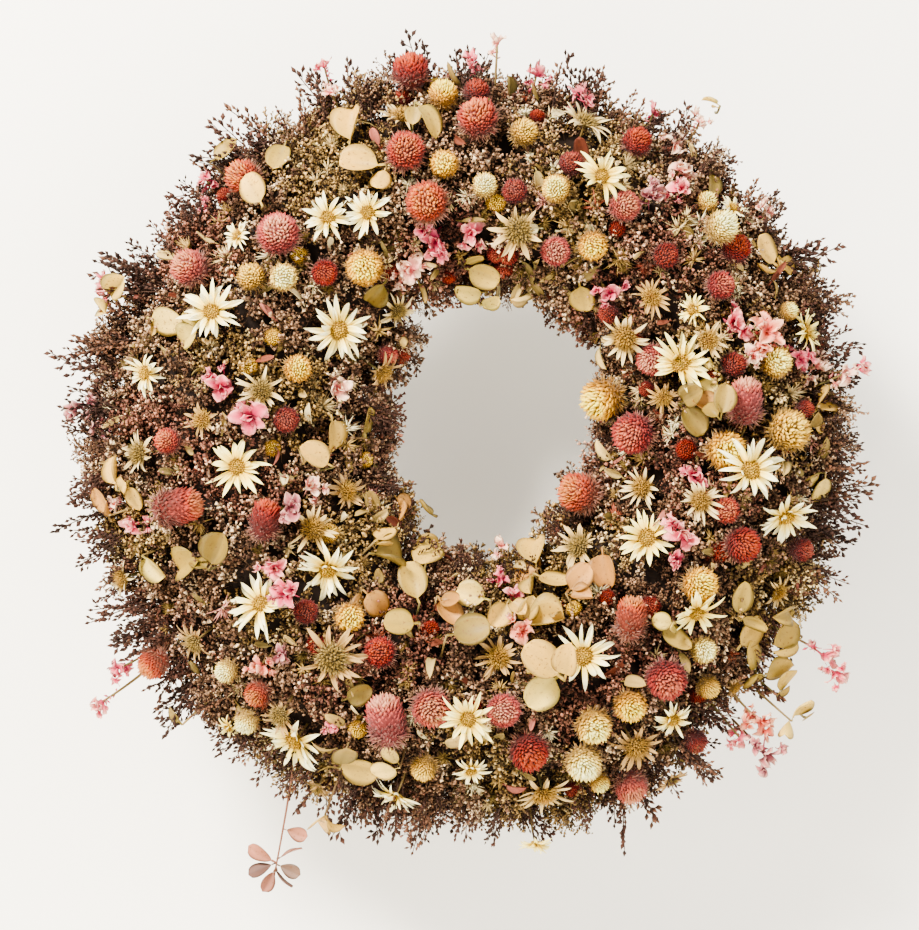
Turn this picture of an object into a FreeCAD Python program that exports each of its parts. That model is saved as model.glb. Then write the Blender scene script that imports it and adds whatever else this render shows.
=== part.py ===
"""Dried-flower harvest wreath for a door, as a parametric FreeCAD document.

A welded box-wire frame holds ten bound bunches of sea lavender. Each bunch is a bundle of stems tied into the
trough of the frame and a fluffy mass in front of it, and the single flowers and leaves stand in that mass on
stems of their own. A wire loop on a bar across the back hangs the wreath from a nail.

Millimetres. The origin is the centre of the frame rings on the door's surface. +Z is up, +Y points into the
door and the flowers face -Y. Clock angles are degrees clockwise from the top, as seen from the front.
"""

import FreeCAD, Part

import math
import os

import Sketcher
from FreeCAD import Placement, Rotation, Vector

OUT = "parts"
FRONT = Vector(0, -1, 0)
GOLDEN_TURN = 137.508  # degrees; turns each flower a different way from the one before

# ---------------------------------------------------------------------------------------------------------
# Driving dimensions. Each one is a cell of the spreadsheet, with this name as its alias.
# ---------------------------------------------------------------------------------------------------------
SIZES = {
    # welded frame: two rings at the back, two at the front, U-shaped ties between them
    "ring_wire": 2.8,
    "tie_wire": 2.4,
    "ring_middle": 145.0,
    "back_half_width": 33.0,
    "front_half_width": 19.0,
    "front_ring_depth": 22.0,
    # paddle wire that binds the bunches to the frame
    "binding_wire": 0.8,
    "binding_half_width": 36.8,
    "binding_front_half_width": 20.0,
    "binding_front_depth": 23.9,
    # bundles of bound stems in the trough
    "stem_diameter": 3.4,
    "stem_pitch": 4.2,
    "stem_depth": 12.2,
    "stem_arc": 31.0,
    # hanging bar and loop
    "bar_height": 171.0,
    "bar_half_length": 49.0,
    "loop_wire": 2.0,
    "loop_half_width": 11.0,
    "loop_straight": 27.0,
    "loop_running_clearance": 0.15,
    # sea lavender
    "bunch_back": 26.5,
    "bunch_height": 38.0,
    "bunch_arc": 35.6,
    "sprig_root": 4.4,
    "sprig_tip": 1.2,
    # one flower of each kind, before its own scale
    "globe_radius": 10.0,
    "globe_base": 3.4,
    "oval_straight": 7.0,
    "daisy_radius": 20.0,
    "daisy_petal_width": 5.0,
    "daisy_centre": 5.6,
    "tan_petal_width": 3.6,
    "tan_centre": 8.0,
    "blossom_radius": 10.0,
    "blossom_petal_width": 7.6,
    "blossom_centre": 2.6,
    "petal_thickness": 0.9,
    "leaf_radius": 10.0,
    "leaf_thickness": 0.9,
    "leaf_stalk_width": 1.8,
    "leaf_stalk_length": 4.0,
    "flower_stem": 1.8,
    # eucalyptus sprig
    "sprig_stem_top": 2.2,
    "sprig_stem_foot": 1.4,
    "sprig_depth": 33.5,
    "sprig_leaf_gap": 3.2,
    "sprig_leaf_step": 1.4,
}
# Inner and outer radius of each bunch, clockwise from the top. The wreath isn't quite round.
BUNCH_RADII = (
    (98, 208), (98, 212), (80, 210), (72, 210), (80, 226),
    (78, 222), (64, 226), (60, 226), (72, 218), (98, 214),
)
BUNCHES = len(BUNCH_RADII)
BUNCH_STEP = 360.0 / BUNCHES
TIE_TURNS = (-6.0, -3.5, 3.5, 6.0)  # binding wire turns, degrees either side of a bunch's middle
STEM_ROWS = ((-2.5, -1.5, -0.5, 0.5, 1.5, 2.5), (-3, -2, -1, 0, 1, 2, 3), (-2.5, -1.5, -0.5, 0.5, 1.5, 2.5))
ROW_PITCH_SHARE = 0.9
OUTER_SPRIGS = 7  # loose sprigs round each bunch's outer rim
INNER_SPRIGS = 3

# ---------------------------------------------------------------------------------------------------------
# Flowers and leaves: (right, up, radius) in millimetres from the centre, as seen from the front. A fourth
# value leans the piece towards a clock angle, and "oval" marks a long head and the clock angle it lies at.
# ---------------------------------------------------------------------------------------------------------
RED_GLOBES = (
    (-40, 221, 13), (-43, 170, 13), (-30, 140, 14), (-118, 121, 14), (-140, 157, 12), (-171, 102, 12.5),
    (-55, 52, 7), (-114, 12, 9), (-184, -1, 9), (-91, 99, 9), (0, 190, 13.5), (-1, 206, 9), (95, 178, 10),
    (55, 163, 8.5), (86, 138, 10.5), (22, 147, 8.5), (46, 112, 10), (111, 109, 9), (153, 113, 10),
    (143, 91, 9.5), (104, 48, 10.5), (153, 44, 8.5), (93, 4, 14), (79, 76, 7.5), (195, 18, 7),
    (-195, -134, 11), (-58, -126, 10.5), (-28, -158, 13), (-131, -151, 9), (-102, -102, 8.5),
    (62, -32, 14), (147, -42, 9), (154, -62, 12), (111, -141, 13.5), (15, -160, 11.5), (30, -184, 13),
    (92, -208, 11.5), (194, -66, 8.5), (131, -181, 8.5),
)
RED_OVALS = (
    (158, 21, 12, 0), (-126, -49, 10.5, 10), (-180, -40, 13, 80), (-54, -168, 13.5, 350), (90, -107, 11, 5),
)
CREAM_GLOBES = (
    (-134, 96, 9.5), (-115, 96, 9.5), (-67, 102, 12.5), (-18, 209, 10), (-20, 163, 9.5), (-107, 42, 9.5),
    (27, 182, 9.5), (46, 148, 9.5), (4, 150, 8.5), (68, 115, 10), (137, 142, 7), (143, 125, 11),
    (80, 25, 14.5), (183, 5, 14.5), (146, -4, 13), (177, 46, 10.5), (186, 77, 6.5), (-76, -105, 10),
    (-150, -138, 8), (-139, -169, 8.5), (-32, -195, 9), (131, -86, 12), (68, -169, 12), (63, -190, 12),
    (75, -206, 7), (90, -157, 11), (134, -125, 9), (138, -148, 8), (-89, -56, 7),
)
WHITE_DAISIES = (
    (-92, 129, 16.5), (-65, 134, 17), (-83, 65, 22), (-158, 76, 21), (-200, 40, 16), (-143, -16, 20),
    (73, 155, 18.5), (127, 77, 12, 270), (120, 45, 21), (199, 66, 16, 60), (154, 140, 10),
    (-130, -97, 22, 300), (-89, -82, 21, 185), (-111, -182, 22), (-50, -216, 18, 225), (-6, -164, 19),
    (160, -18, 23), (184, -47, 20, 200), (129, -103, 18, 170), (67, -124, 21), (117, -168, 14),
    (100, -58, 20), (-4, -198, 12), (35, -245, 12, 180), (-151, -172, 9), (-144, 122, 11, 300),
)
TAN_DAISIES = (
    (-128, 29, 17), (-48, 77, 13), (-201, -5, 17), (-41, 199, 17, 0), (-57, 40, 14), (24, 123, 21),
    (65, 192, 19, 20), (88, 59, 18), (103, 85, 14), (106, 21, 12), (-99, -54, 17), (-86, -129, 23),
    (-171, -122, 15), (-118, -164, 14), (-78, -31, 15), (131, -36, 15), (12, -129, 17), (40, -214, 19),
    (95, -180, 18), (98, -28, 15), (60, -57, 17), (156, -150, 10), (135, 58, 13), (-97, -211, 12),
    (-216, -84, 13), (182, -92, 12), (-164, 12, 12), (118, -206, 12),
)
PINK_BLOSSOMS = (
    (-93, 227, 7, 0), (-89, 211, 7), (-166, 159, 8), (-164, 142, 8), (-25, 122, 12), (-41, 106, 12),
    (-152, 31, 12), (-134, 13, 13), (-84, 31, 11), (-228, 92, 9, 270), (-244, 20, 10, 270), (-233, 8, 8, 270),
    (-3, 230, 8), (12, 241, 7, 10), (36, 222, 9), (62, 207, 10), (107, 199, 8), (120, 179, 9), (122, 163, 10),
    (103, 145, 10), (119, 150, 9), (177, 138, 9), (135, 193, 7), (-8, 123, 10), (81, 88, 10), (152, 69, 12),
    (172, 65, 13), (161, 51, 9), (190, 49, 9), (203, 42, 9), (232, 43, 8, 90), (221, 42, 8), (-208, -51, 9),
    (-109, -40, 11), (-100, -31, 9), (-120, -76, 9), (-113, -90, 10), (-219, -139, 9, 240), (-228, -159, 8, 230),
    (-130, -135, 9), (-117, -128, 8), (-86, -171, 6), (-221, -40, 8), (121, -57, 12), (113, -66, 8),
    (129, -20, 9), (14, -63, 8), (14, -83, 7), (21, -93, 8), (26, -113, 10), (211, -131, 10, 110),
    (216, -142, 9, 120), (173, -171, 11), (176, -191, 11), (163, -181, 9), (187, -117, 6),
)
PALE_LEAVES = (
    (-74, 187, 10.5), (-29, 192, 10), (-66, 167, 11.5), (-152, 175, 9), (-120, 170, 9), (-133, 148, 11),
    (-187, 71, 11), (-173, 61, 9), (-67, 12, 8), (-86, 2, 10), (-98, -10, 10), (-216, 93, 9), (-61, 87, 8),
    (-217, -18, 9), (3, 100, 9.5), (-6, 90, 8.5), (8, 85, 6), (63, 85, 8.5), (172, 113, 9), (183, 106, 7),
    (135, 33, 9), (147, 24, 9), (125, 10, 10), (136, 20, 8), (204, 22, 9), (142, 154, 8), (141, 206, 5),
    (-192, -76, 9), (-176, -74, 11), (-153, -65, 10), (-208, -34, 8), (-224, -35, 8), (-52, -70, 11),
    (-30, -68, 11), (-39, -86, 11), (-64, -102, 9), (-47, -109, 9), (-56, -56, 8), (-47, -42, 7), (-32, -42, 6),
    (-71, -197, 12), (-57, -198, 9), (-80, -186, 9), (-18, -104, 9), (-184, -166, 6), (-69, -152, 8),
    (-95, -229, 9), (42, -68, 10.5), (44, -84, 10), (28, -85, 7.5), (60, -82, 9), (74, -77, 10.5),
    (37, -130, 13), (36, -114, 11), (38, -149, 11), (157, -94, 10), (116, -117, 8.5), (107, -109, 6),
    (165, -115, 11), (182, -114, 10), (167, -130, 10), (179, -138, 10), (186, -125, 8), (187, -145, 8),
    (209, -32, 9.5), (-4, -95, 9), (-4, -113, 11), (12, -104, 8), (195, -161, 8), (201, -168, 6),
)
# Leaves of the eucalyptus sprig that hangs below the rim: (right, up, radius, clock angle it points to)
SPRIG_TOP = (-108, -170)  # the stem's upper end, inside the filler
SPRIG_FOOT = (-124, -266)
SPRIG_LEAVES = (
    (-111, -239, 8, 100), (-133, -251, 8, 300), (-114, -250, 8, 60), (-132, -261, 8, 250), (-115, -261, 8, 110),
    (-128, -268, 6, 200), (-119, -268, 6, 160),
)
# How far each kind stands clear of the filler's surface, so that the fluff doesn't cover it
STAND_OFF = {"leaf": 8.0, "blossom": 9.0, "tan": 8.0, "globe": 1.5, "oval": 1.5, "daisy": 9.0}
# Lifts away from the door, and shifts along it with their clock angles, that a flower may take to be clear
LIFTS = [1.5 * n for n in range(14)]
SHIFTS = [(0.0, 0)] + [(reach, clock) for reach in (2.0, 4.0, 6.0) for clock in range(0, 360, 45)]
TRIES = sorted(((lift, *shift) for lift in LIFTS for shift in SHIFTS), key=lambda t: t[0] + 2.2 * t[1])
CLEARANCE = 0.5
STEM_IN_FILLER = 17.0

doc = FreeCAD.newDocument("harvest_wreath")
sheet = doc.addObject("Spreadsheet::Sheet", "Sizes")
nodes = []


def fill_sheet():
    """Writes the driving dimensions to the spreadsheet: name, value and alias."""
    cells = dict(SIZES)
    for number, (inner, outer) in enumerate(BUNCH_RADII, 1):
        cells[f"bunch{number:02d}_inner"] = inner
        cells[f"bunch{number:02d}_outer"] = outer
    for row, (name, value) in enumerate(cells.items(), 1):
        sheet.set(f"A{row}", name)
        sheet.set(f"B{row}", str(float(value)))
        sheet.setAlias(f"B{row}", name)
    doc.recompute()


def size(name):
    """A driving dimension's value, read back from the spreadsheet."""
    return float(getattr(sheet, name))


def keep(thing, label):
    """Marks a document object as a sub-part, under the name that its file gets."""
    thing.Label = label
    nodes.append(thing)
    return thing


# ---------------------------------------------------------------------------------------------------------
# Sketch and body helpers
# ---------------------------------------------------------------------------------------------------------
def new_body(name):
    return doc.addObject("PartDesign::Body", name)


def origin_plane(body, role):
    return next(f for f in body.Origin.OriginFeatures if f.Role == role)


def new_sketch(body, role, name, offset=None):
    """A sketch on one of the body's own origin planes."""
    sketch = body.newObject("Sketcher::SketchObject", name)
    sketch.AttachmentSupport = [(origin_plane(body, role), "")]
    sketch.MapMode = "FlatFace"
    if offset:
        sketch.AttachmentOffset = offset
    return sketch


def bind(sketch, constraint, expression):
    """Adds a dimension to a sketch and drives it from the spreadsheet."""
    index = sketch.addConstraint(constraint)
    sketch.setExpression(f"Constraints[{index}]", expression)


def fix_point(sketch, geometry, point, at):
    """Ties a sketch point to the origin by two dimensions, each an expression and its value."""
    (across, across_now), (up, up_now) = at
    for kind, text, now in (("DistanceX", across, across_now), ("DistanceY", up, up_now)):
        if abs(now) < 1e-9:
            line = -2 if kind == "DistanceX" else -1
            sketch.addConstraint(Sketcher.Constraint("PointOnObject", geometry, point, line))
        else:
            bind(sketch, Sketcher.Constraint(kind, -1, 1, geometry, point, now), text)


def polyline(sketch, corners):
    """An open run of lines through corners, each held by the spreadsheet. A corner is two expressions."""
    points = [(evaluate(a), evaluate(b)) for a, b in corners]
    for start, end in zip(points, points[1:]):
        sketch.addGeometry(Part.LineSegment(Vector(*start, 0), Vector(*end, 0)), False)
    last = len(points) - 2
    for n in range(last):
        sketch.addConstraint(Sketcher.Constraint("Coincident", n, 2, n + 1, 1))
    for n, (corner, now) in enumerate(zip(corners, points)):
        geometry, end = (n, 1) if n <= last else (last, 2)
        fix_point(sketch, geometry, end, ((corner[0], now[0]), (corner[1], now[1])))


def evaluate(expression):
    """An expression's value in millimetres, from the spreadsheet."""
    return float(sheet.evalExpression(expression))


def circle_sketch(body, role, name, across, up, diameter, offset=None):
    """A circle at two expressions, with its diameter from the spreadsheet."""
    sketch = new_sketch(body, role, name, offset)
    at = evaluate(across), evaluate(up)
    sketch.addGeometry(Part.Circle(Vector(*at, 0), Vector(0, 0, 1), evaluate(diameter) / 2), False)
    fix_point(sketch, 0, 3, ((across, at[0]), (up, at[1])))
    bind(sketch, Sketcher.Constraint("Diameter", 0, evaluate(diameter)), diameter)
    return sketch


def pipe_along(body, spine, profile, name):
    """Sweeps a wire's round section along its centre line."""
    pipe = body.newObject("PartDesign::AdditivePipe", name)
    pipe.Profile = profile
    pipe.Spine = (spine, [f"Edge{n + 1}" for n in range(len(spine.Geometry))])
    pipe.Transition = "Round corner"
    return pipe


def mirrored(body, feature, role, name):
    copy = body.newObject("PartDesign::Mirrored", name)
    copy.Originals = [feature]
    copy.MirrorPlane = (origin_plane(body, role), [""])
    body.Tip = copy
    return copy


# ---------------------------------------------------------------------------------------------------------
# Copies of a master body
# ---------------------------------------------------------------------------------------------------------
def copy_of(master, placement, scale=1.0):
    link = doc.addObject("App::Link", master.Name + "_copy")
    link.LinkedObject = master
    link.Scale = scale
    link.Placement = placement
    return link


def group(label, pieces):
    """One sub-part made of separate solids."""
    compound = doc.addObject("Part::Compound", label)
    compound.Links = pieces
    return keep(compound, label)


def round_ring(clock, radius, depth=0.0):
    """Places a body so that its X points outwards at a clock angle and its Y into the door."""
    a = math.radians(clock)
    at = Vector(radius * math.sin(a), -depth, radius * math.cos(a))
    return Placement(at, Rotation(Vector(0, 1, 0), clock - 90))


# ---------------------------------------------------------------------------------------------------------
# Frame, hanger and binding
# ---------------------------------------------------------------------------------------------------------
def back_ring_depth():
    """The back rings lie on the ties, and the ties touch the door."""
    return size("tie_wire") + size("ring_wire") / 2


def build_rings():
    back = "-(Sizes.tie_wire + Sizes.ring_wire / 2)"
    front = "-Sizes.front_ring_depth"
    for label, radius, depth in (
        ("frame_ring_back_outer", "Sizes.ring_middle + Sizes.back_half_width", back),
        ("frame_ring_back_inner", "Sizes.ring_middle - Sizes.back_half_width", back),
        ("frame_ring_front_outer", "Sizes.ring_middle + Sizes.front_half_width", front),
        ("frame_ring_front_inner", "Sizes.ring_middle - Sizes.front_half_width", front),
    ):
        ring = doc.addObject("Part::Torus", label)
        ring.Placement = Placement(Vector(), Rotation(Vector(1, 0, 0), 90))
        ring.setExpression("Radius1", radius)
        ring.setExpression("Radius2", "Sizes.ring_wire / 2")
        ring.setExpression(".Placement.Base.y", depth)
        keep(ring, label)


def half_hoop(name, corners, diameter):
    """A bent wire, swept along half its path from the plane it is symmetrical about, then mirrored."""
    body = new_body(name)
    path = new_sketch(body, "XY_Plane", name + "_path")
    polyline(path, corners)
    start = corners[0]
    section = circle_sketch(body, "YZ_Plane", name + "_section", start[1], "0", diameter)
    half = pipe_along(body, path, section, name + "_half")
    mirrored(body, half, "YZ_Plane", name + "_whole")
    return body


def build_ties():
    """U-shaped ties, welded behind the back rings and outside the front ones."""
    gap = "Sizes.ring_wire / 2 + Sizes.tie_wire / 2"
    corners = (
        ("0", "-Sizes.tie_wire / 2"),
        (f"Sizes.back_half_width + {gap}", "-Sizes.tie_wire / 2"),
        (f"Sizes.front_half_width + {gap}", "-Sizes.front_ring_depth"),
    )
    tie = half_hoop("cross_tie", corners, "Sizes.tie_wire")
    places = [round_ring((n + 0.5) * BUNCH_STEP, size("ring_middle")) for n in range(BUNCHES)]
    group("frame_cross_ties", [copy_of(tie, place) for place in places])


def build_binding():
    """Turns of paddle wire round each bunch's stems and the frame."""
    back = "-Sizes.tie_wire + Sizes.binding_wire / 2"
    corners = (
        ("0", back),
        ("Sizes.binding_half_width", back),
        ("Sizes.binding_front_half_width", "-Sizes.binding_front_depth"),
        ("0", "-Sizes.binding_front_depth"),
    )
    turn = half_hoop("binding_turn", corners, "Sizes.binding_wire")
    clocks = [(n + 0.5) * BUNCH_STEP + t for n in range(BUNCHES) for t in TIE_TURNS]
    group("binding_wire", [copy_of(turn, round_ring(c, size("ring_middle"))) for c in clocks])


def build_hanger():
    """A straight bar across the top of the back outer ring, and a loop that swings on it."""
    bar = doc.addObject("Part::Cylinder", "hanger_bar")
    bar.Placement = Placement(Vector(), Rotation(Vector(0, 1, 0), 90))
    bar.setExpression("Radius", "Sizes.ring_wire / 2")
    bar.setExpression("Height", "2 * Sizes.bar_half_length")
    bar.setExpression(".Placement.Base.x", "-Sizes.bar_half_length")
    bar.setExpression(".Placement.Base.y", "-(Sizes.tie_wire + Sizes.ring_wire / 2)")
    bar.setExpression(".Placement.Base.z", "Sizes.bar_height")
    keep(bar, "hanger_bar")

    body = new_body("loop")
    eye_radius = size("ring_wire") / 2 + size("loop_running_clearance") + size("loop_wire") / 2
    path = new_sketch(body, "XZ_Plane", "loop_path")
    half, straight = size("loop_half_width"), size("loop_straight")
    path.addGeometry(Part.LineSegment(Vector(0 - half, 0, 0), Vector(-half, straight, 0)), False)
    over = Part.Circle(Vector(0, straight, 0), Vector(0, 0, 1), half)
    path.addGeometry(Part.ArcOfCircle(over, 0, math.pi), False)
    path.addGeometry(Part.LineSegment(Vector(half, straight, 0), Vector(half, 0, 0)), False)
    section = circle_sketch(body, "XY_Plane", "loop_section", "-Sizes.loop_half_width", "0", "Sizes.loop_wire")
    pipe_along(body, path, section, "loop_wire_bend")
    for side in (-1, 1):
        for turn in (0, 1):
            eye = body.newObject("PartDesign::AdditiveTorus", "loop_eye")
            eye.Radius1, eye.Radius2 = eye_radius, size("loop_wire") / 2
            across = side * (half + turn * size("loop_wire") * 0.96)
            middle = Vector(across, -eye_radius, 0)
            eye.AttachmentSupport = [(origin_plane(body, "XY_Plane"), "")]
            eye.MapMode = "FlatFace"
            eye.AttachmentOffset = Placement(middle, Rotation(Vector(0, 1, 0), 90))
    body.Placement = Placement(Vector(0, eye_radius - back_ring_depth(), size("bar_height")), Rotation())
    keep(body, "hanger_loop")


def build_stem_bundles():
    """One bundle of bound stems, bent to the ring, then a copy of it for each bunch."""
    stems = []
    for row, offsets in enumerate(STEM_ROWS):
        for offset in offsets:
            stem = doc.addObject("Part::Torus", "bound_stem")
            stem.setExpression("Radius1", f"Sizes.ring_middle + {offset} * Sizes.stem_pitch")
            stem.setExpression("Radius2", "Sizes.stem_diameter / 2")
            stem.setExpression("Angle3", "Sizes.stem_arc")
            depth = size("stem_depth") + row * ROW_PITCH_SHARE * size("stem_pitch")
            stem.Placement = Placement(Vector(0, -depth, 0), Rotation(Vector(1, 0, 0), 90))
            stems.append(stem)
    bundle = doc.addObject("Part::Compound", "bound_stems")
    bundle.Links = stems
    for n in range(BUNCHES):
        turn = 90 - (n + 0.5) * BUNCH_STEP - size("stem_arc") / 2
        copy = copy_of(bundle, Placement(Vector(), Rotation(Vector(0, 1, 0), -turn)))
        keep(copy, f"stem_bundle_{n + 1:02d}")


# ---------------------------------------------------------------------------------------------------------
# Sea lavender bunches
# ---------------------------------------------------------------------------------------------------------
def cushion_arc(number):
    """The front curve of a bunch's section: its middle radius, its half width and its circle's radius."""
    inner, outer = size(f"bunch{number:02d}_inner"), size(f"bunch{number:02d}_outer")
    half, height = (outer - inner) / 2, size("bunch_height")
    return (inner + outer) / 2, half, (half * half + height * height) / (2 * height)


def build_bunches():
    """Each bunch's fluffy mass, a D-shaped section turned about the wreath's axis, and its loose sprigs."""
    for n in range(BUNCHES):
        number = n + 1
        name = f"bunch{number:02d}"
        body = new_body(name)
        section = new_sketch(body, "XY_Plane", name + "_section")
        middle, half, curve = cushion_arc(number)
        back, front = -size("bunch_back"), -size("bunch_back") - size("bunch_height")
        ends = Vector(middle - half, back, 0), Vector(middle + half, back, 0)
        section.addGeometry(Part.LineSegment(*ends), False)
        section.addGeometry(Part.Arc(ends[0], Vector(middle, front, 0), ends[1]), False)
        section.addConstraint(Sketcher.Constraint("Coincident", 0, 1, 1, 1))
        section.addConstraint(Sketcher.Constraint("Coincident", 0, 2, 1, 2))
        fix_point(section, 0, 1, ((f"Sizes.{name}_inner", ends[0].x), ("-Sizes.bunch_back", back)))
        fix_point(section, 0, 2, ((f"Sizes.{name}_outer", ends[1].x), ("-Sizes.bunch_back", back)))
        turned = body.newObject("PartDesign::Revolution", name + "_mass")
        turned.Profile = section
        turned.ReferenceAxis = (section, ["V_Axis"])
        turned.Midplane = True
        turned.setExpression("Angle", "Sizes.bunch_arc")
        body.Placement = round_ring((n + 0.5) * BUNCH_STEP, 0)
        group(f"sea_lavender_bunch_{number:02d}", [body, *loose_sprigs(n)])


def sprig_lines(n):
    """Thin sprigs that reach out past a bunch's rim and into the wreath's opening: start, way and length."""
    inner, outer = size(f"bunch{n + 1:02d}_inner"), size(f"bunch{n + 1:02d}_outer")
    lines = []
    for k in range(OUTER_SPRIGS):
        clock = (n + (k + 0.5) / OUTER_SPRIGS) * BUNCH_STEP
        lean = 18.0 - 9.0 * ((k + n) % 5)
        lines.append(sprig_line(clock, outer - 1.0, clock + lean, 20.0 + 3.0 * ((3 * k + 2 * n) % 5)))
    for k in range(INNER_SPRIGS):
        clock = (n + (k + 0.5) / INNER_SPRIGS) * BUNCH_STEP
        lean = 16.0 * (k - 1)
        lines.append(sprig_line(clock, inner + 1.0, clock + 180.0 + lean, 8.0 + 2.0 * ((k + n) % 3)))
    return lines


def sprig_line(clock, radius, towards, length):
    """A line from a bunch's rim towards a clock angle."""
    a, b = math.radians(clock), math.radians(towards)
    depth = size("bunch_back") + size("sprig_root") / 2
    start = Vector(radius * math.sin(a), -depth, radius * math.cos(a))
    return start, Vector(math.sin(b), 0, math.cos(b)), length


def loose_sprigs(n):
    """A bunch's loose sprigs, as tapered rods."""
    sprigs = []
    for start, way, length in sprig_lines(n):
        cone = doc.addObject("Part::Cone", "loose_sprig")
        cone.setExpression("Radius1", "Sizes.sprig_root / 2")
        cone.setExpression("Radius2", "Sizes.sprig_tip / 2")
        cone.Height = length
        cone.Placement = Placement(start, Rotation(Vector(0, 0, 1), way))
        sprigs.append(cone)
    return sprigs


# ---------------------------------------------------------------------------------------------------------
# Flower and leaf masters. Each one stands on its origin and faces its own +Z.
# ---------------------------------------------------------------------------------------------------------
def globe_master(name, straight):
    """A globe amaranth head: a ball with a flat where the stem enters. A long one has a straight middle."""
    radius, base = size("globe_radius"), size("globe_base")
    body = new_body(name)
    section = new_sketch(body, "XZ_Plane", name + "_section")
    low = -math.sqrt(radius * radius - base * base)
    start = math.asin(low / radius)
    if straight:
        top, foot = straight / 2, -straight / 2
        lower = Part.ArcOfCircle(Part.Circle(Vector(0, foot, 0), Vector(0, 0, 1), radius), start, 0)
        upper = Part.ArcOfCircle(Part.Circle(Vector(0, top, 0), Vector(0, 0, 1), radius), 0, math.pi / 2)
        side = Part.LineSegment(Vector(radius, foot, 0), Vector(radius, top, 0))
        outline = [lower, side, upper]
    else:
        top = foot = 0.0
        ball = Part.Circle(Vector(), Vector(0, 0, 1), radius)
        outline = [Part.ArcOfCircle(ball, start, math.pi / 2)]
    outline.append(Part.LineSegment(Vector(0, top + radius, 0), Vector(0, foot + low, 0)))
    outline.append(Part.LineSegment(Vector(0, foot + low, 0), Vector(base, foot + low, 0)))
    for edge in outline:
        section.addGeometry(edge, False)
    turned = body.newObject("PartDesign::Revolution", name + "_turned")
    turned.Profile = section
    turned.ReferenceAxis = (section, ["V_Axis"])
    turned.Angle = 360
    return body


def petal_outline(sketch, root, tip, width):
    """A petal from its root to its tip, with two curved sides that meet at the tip."""
    belly = root + 0.6 * (tip - root)
    narrow = width * 0.22
    sides = [
        Part.Arc(Vector(narrow, root, 0), Vector(width / 2, belly, 0), Vector(0, tip, 0)),
        Part.Arc(Vector(0, tip, 0), Vector(-width / 2, belly, 0), Vector(-narrow, root, 0)),
        Part.LineSegment(Vector(-narrow, root, 0), Vector(narrow, root, 0)),
    ]
    for side in sides:
        sketch.addGeometry(side, False)


def daisy_master(name, petals, tip, width, centre, rise, tilt):
    """A domed centre with a ring of thin petals that rise by the tilt angle."""
    body = new_body(name)
    dome = new_sketch(body, "XZ_Plane", name + "_dome")
    curve = (centre * centre + rise * rise) / (2 * rise)
    ball = Part.Circle(Vector(0, rise - curve, 0), Vector(0, 0, 1), curve)
    edge = math.asin((curve - rise) / curve)
    foot = -1.6
    for side in (
        Part.ArcOfCircle(ball, edge, math.pi / 2),
        Part.LineSegment(Vector(0, rise, 0), Vector(0, foot, 0)),
        Part.LineSegment(Vector(0, foot, 0), Vector(centre * 0.6, foot, 0)),
        Part.LineSegment(Vector(centre * 0.6, foot, 0), Vector(centre, 0, 0)),
    ):
        dome.addGeometry(side, False)
    turned = body.newObject("PartDesign::Revolution", name + "_centre")
    turned.Profile = dome
    turned.ReferenceAxis = (dome, ["V_Axis"])
    turned.Angle = 360
    outline = new_sketch(
        body, "XY_Plane", name + "_petal_outline", Placement(Vector(), Rotation(Vector(1, 0, 0), tilt))
    )
    petal_outline(outline, centre * 0.55, tip, width)
    petal = body.newObject("PartDesign::Pad", name + "_petal")
    petal.Profile = outline
    petal.Midplane = True
    petal.setExpression("Length", "Sizes.petal_thickness")
    around = body.newObject("PartDesign::PolarPattern", name + "_petals")
    around.Originals = [petal]
    around.Axis = (origin_axis(body, "Z_Axis"), [""])
    around.Angle = 360
    around.Occurrences = petals
    body.Tip = around
    return body


def origin_axis(body, role):
    return next(f for f in body.Origin.OriginFeatures if f.Role == role)


def leaf_master(name, slim):
    """A flat round leaf on a short stalk. A slim leaf is narrower than it is long."""
    radius, width, stalk = size("leaf_radius"), size("leaf_stalk_width"), size("leaf_stalk_length")
    body = new_body(name)
    outline = new_sketch(body, "XY_Plane", name + "_outline")
    half = width / 2
    if slim:
        side = radius * 0.55
        edges = [
            Part.Arc(Vector(half, -radius, 0), Vector(side, 0, 0), Vector(0, radius, 0)),
            Part.Arc(Vector(0, radius, 0), Vector(-side, 0, 0), Vector(-half, -radius, 0)),
        ]
        root = -radius
    else:
        root = -math.sqrt(radius * radius - half * half)
        edges = [Part.Arc(Vector(half, root, 0), Vector(0, radius, 0), Vector(-half, root, 0))]
    foot = root - stalk
    edges += [
        Part.LineSegment(Vector(-half, root, 0), Vector(-half, foot, 0)),
        Part.LineSegment(Vector(-half, foot, 0), Vector(half, foot, 0)),
        Part.LineSegment(Vector(half, foot, 0), Vector(half, root, 0)),
    ]
    for edge in edges:
        outline.addGeometry(edge, False)
    blade = body.newObject("PartDesign::Pad", name + "_blade")
    blade.Profile = outline
    blade.Midplane = True
    blade.setExpression("Length", "Sizes.leaf_thickness")
    return body


# ---------------------------------------------------------------------------------------------------------
# Where the flowers stand
# ---------------------------------------------------------------------------------------------------------
def on_cushion(right, up, clear):
    """The depth at which something stands clear of the filler by that much, in front of (right, up)."""
    clock = math.degrees(math.atan2(right, up)) % 360
    middle, _, curve = cushion_arc(int(clock // BUNCH_STEP) % BUNCHES + 1)
    across = math.hypot(right, up) - middle
    reach = curve + clear
    height = math.sqrt(max(reach * reach - across * across, 0.0)) - (curve - size("bunch_height"))
    least = size("sprig_root") + 1.5 + min(clear, 14.0)
    return size("bunch_back") + max(height, least)


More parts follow.
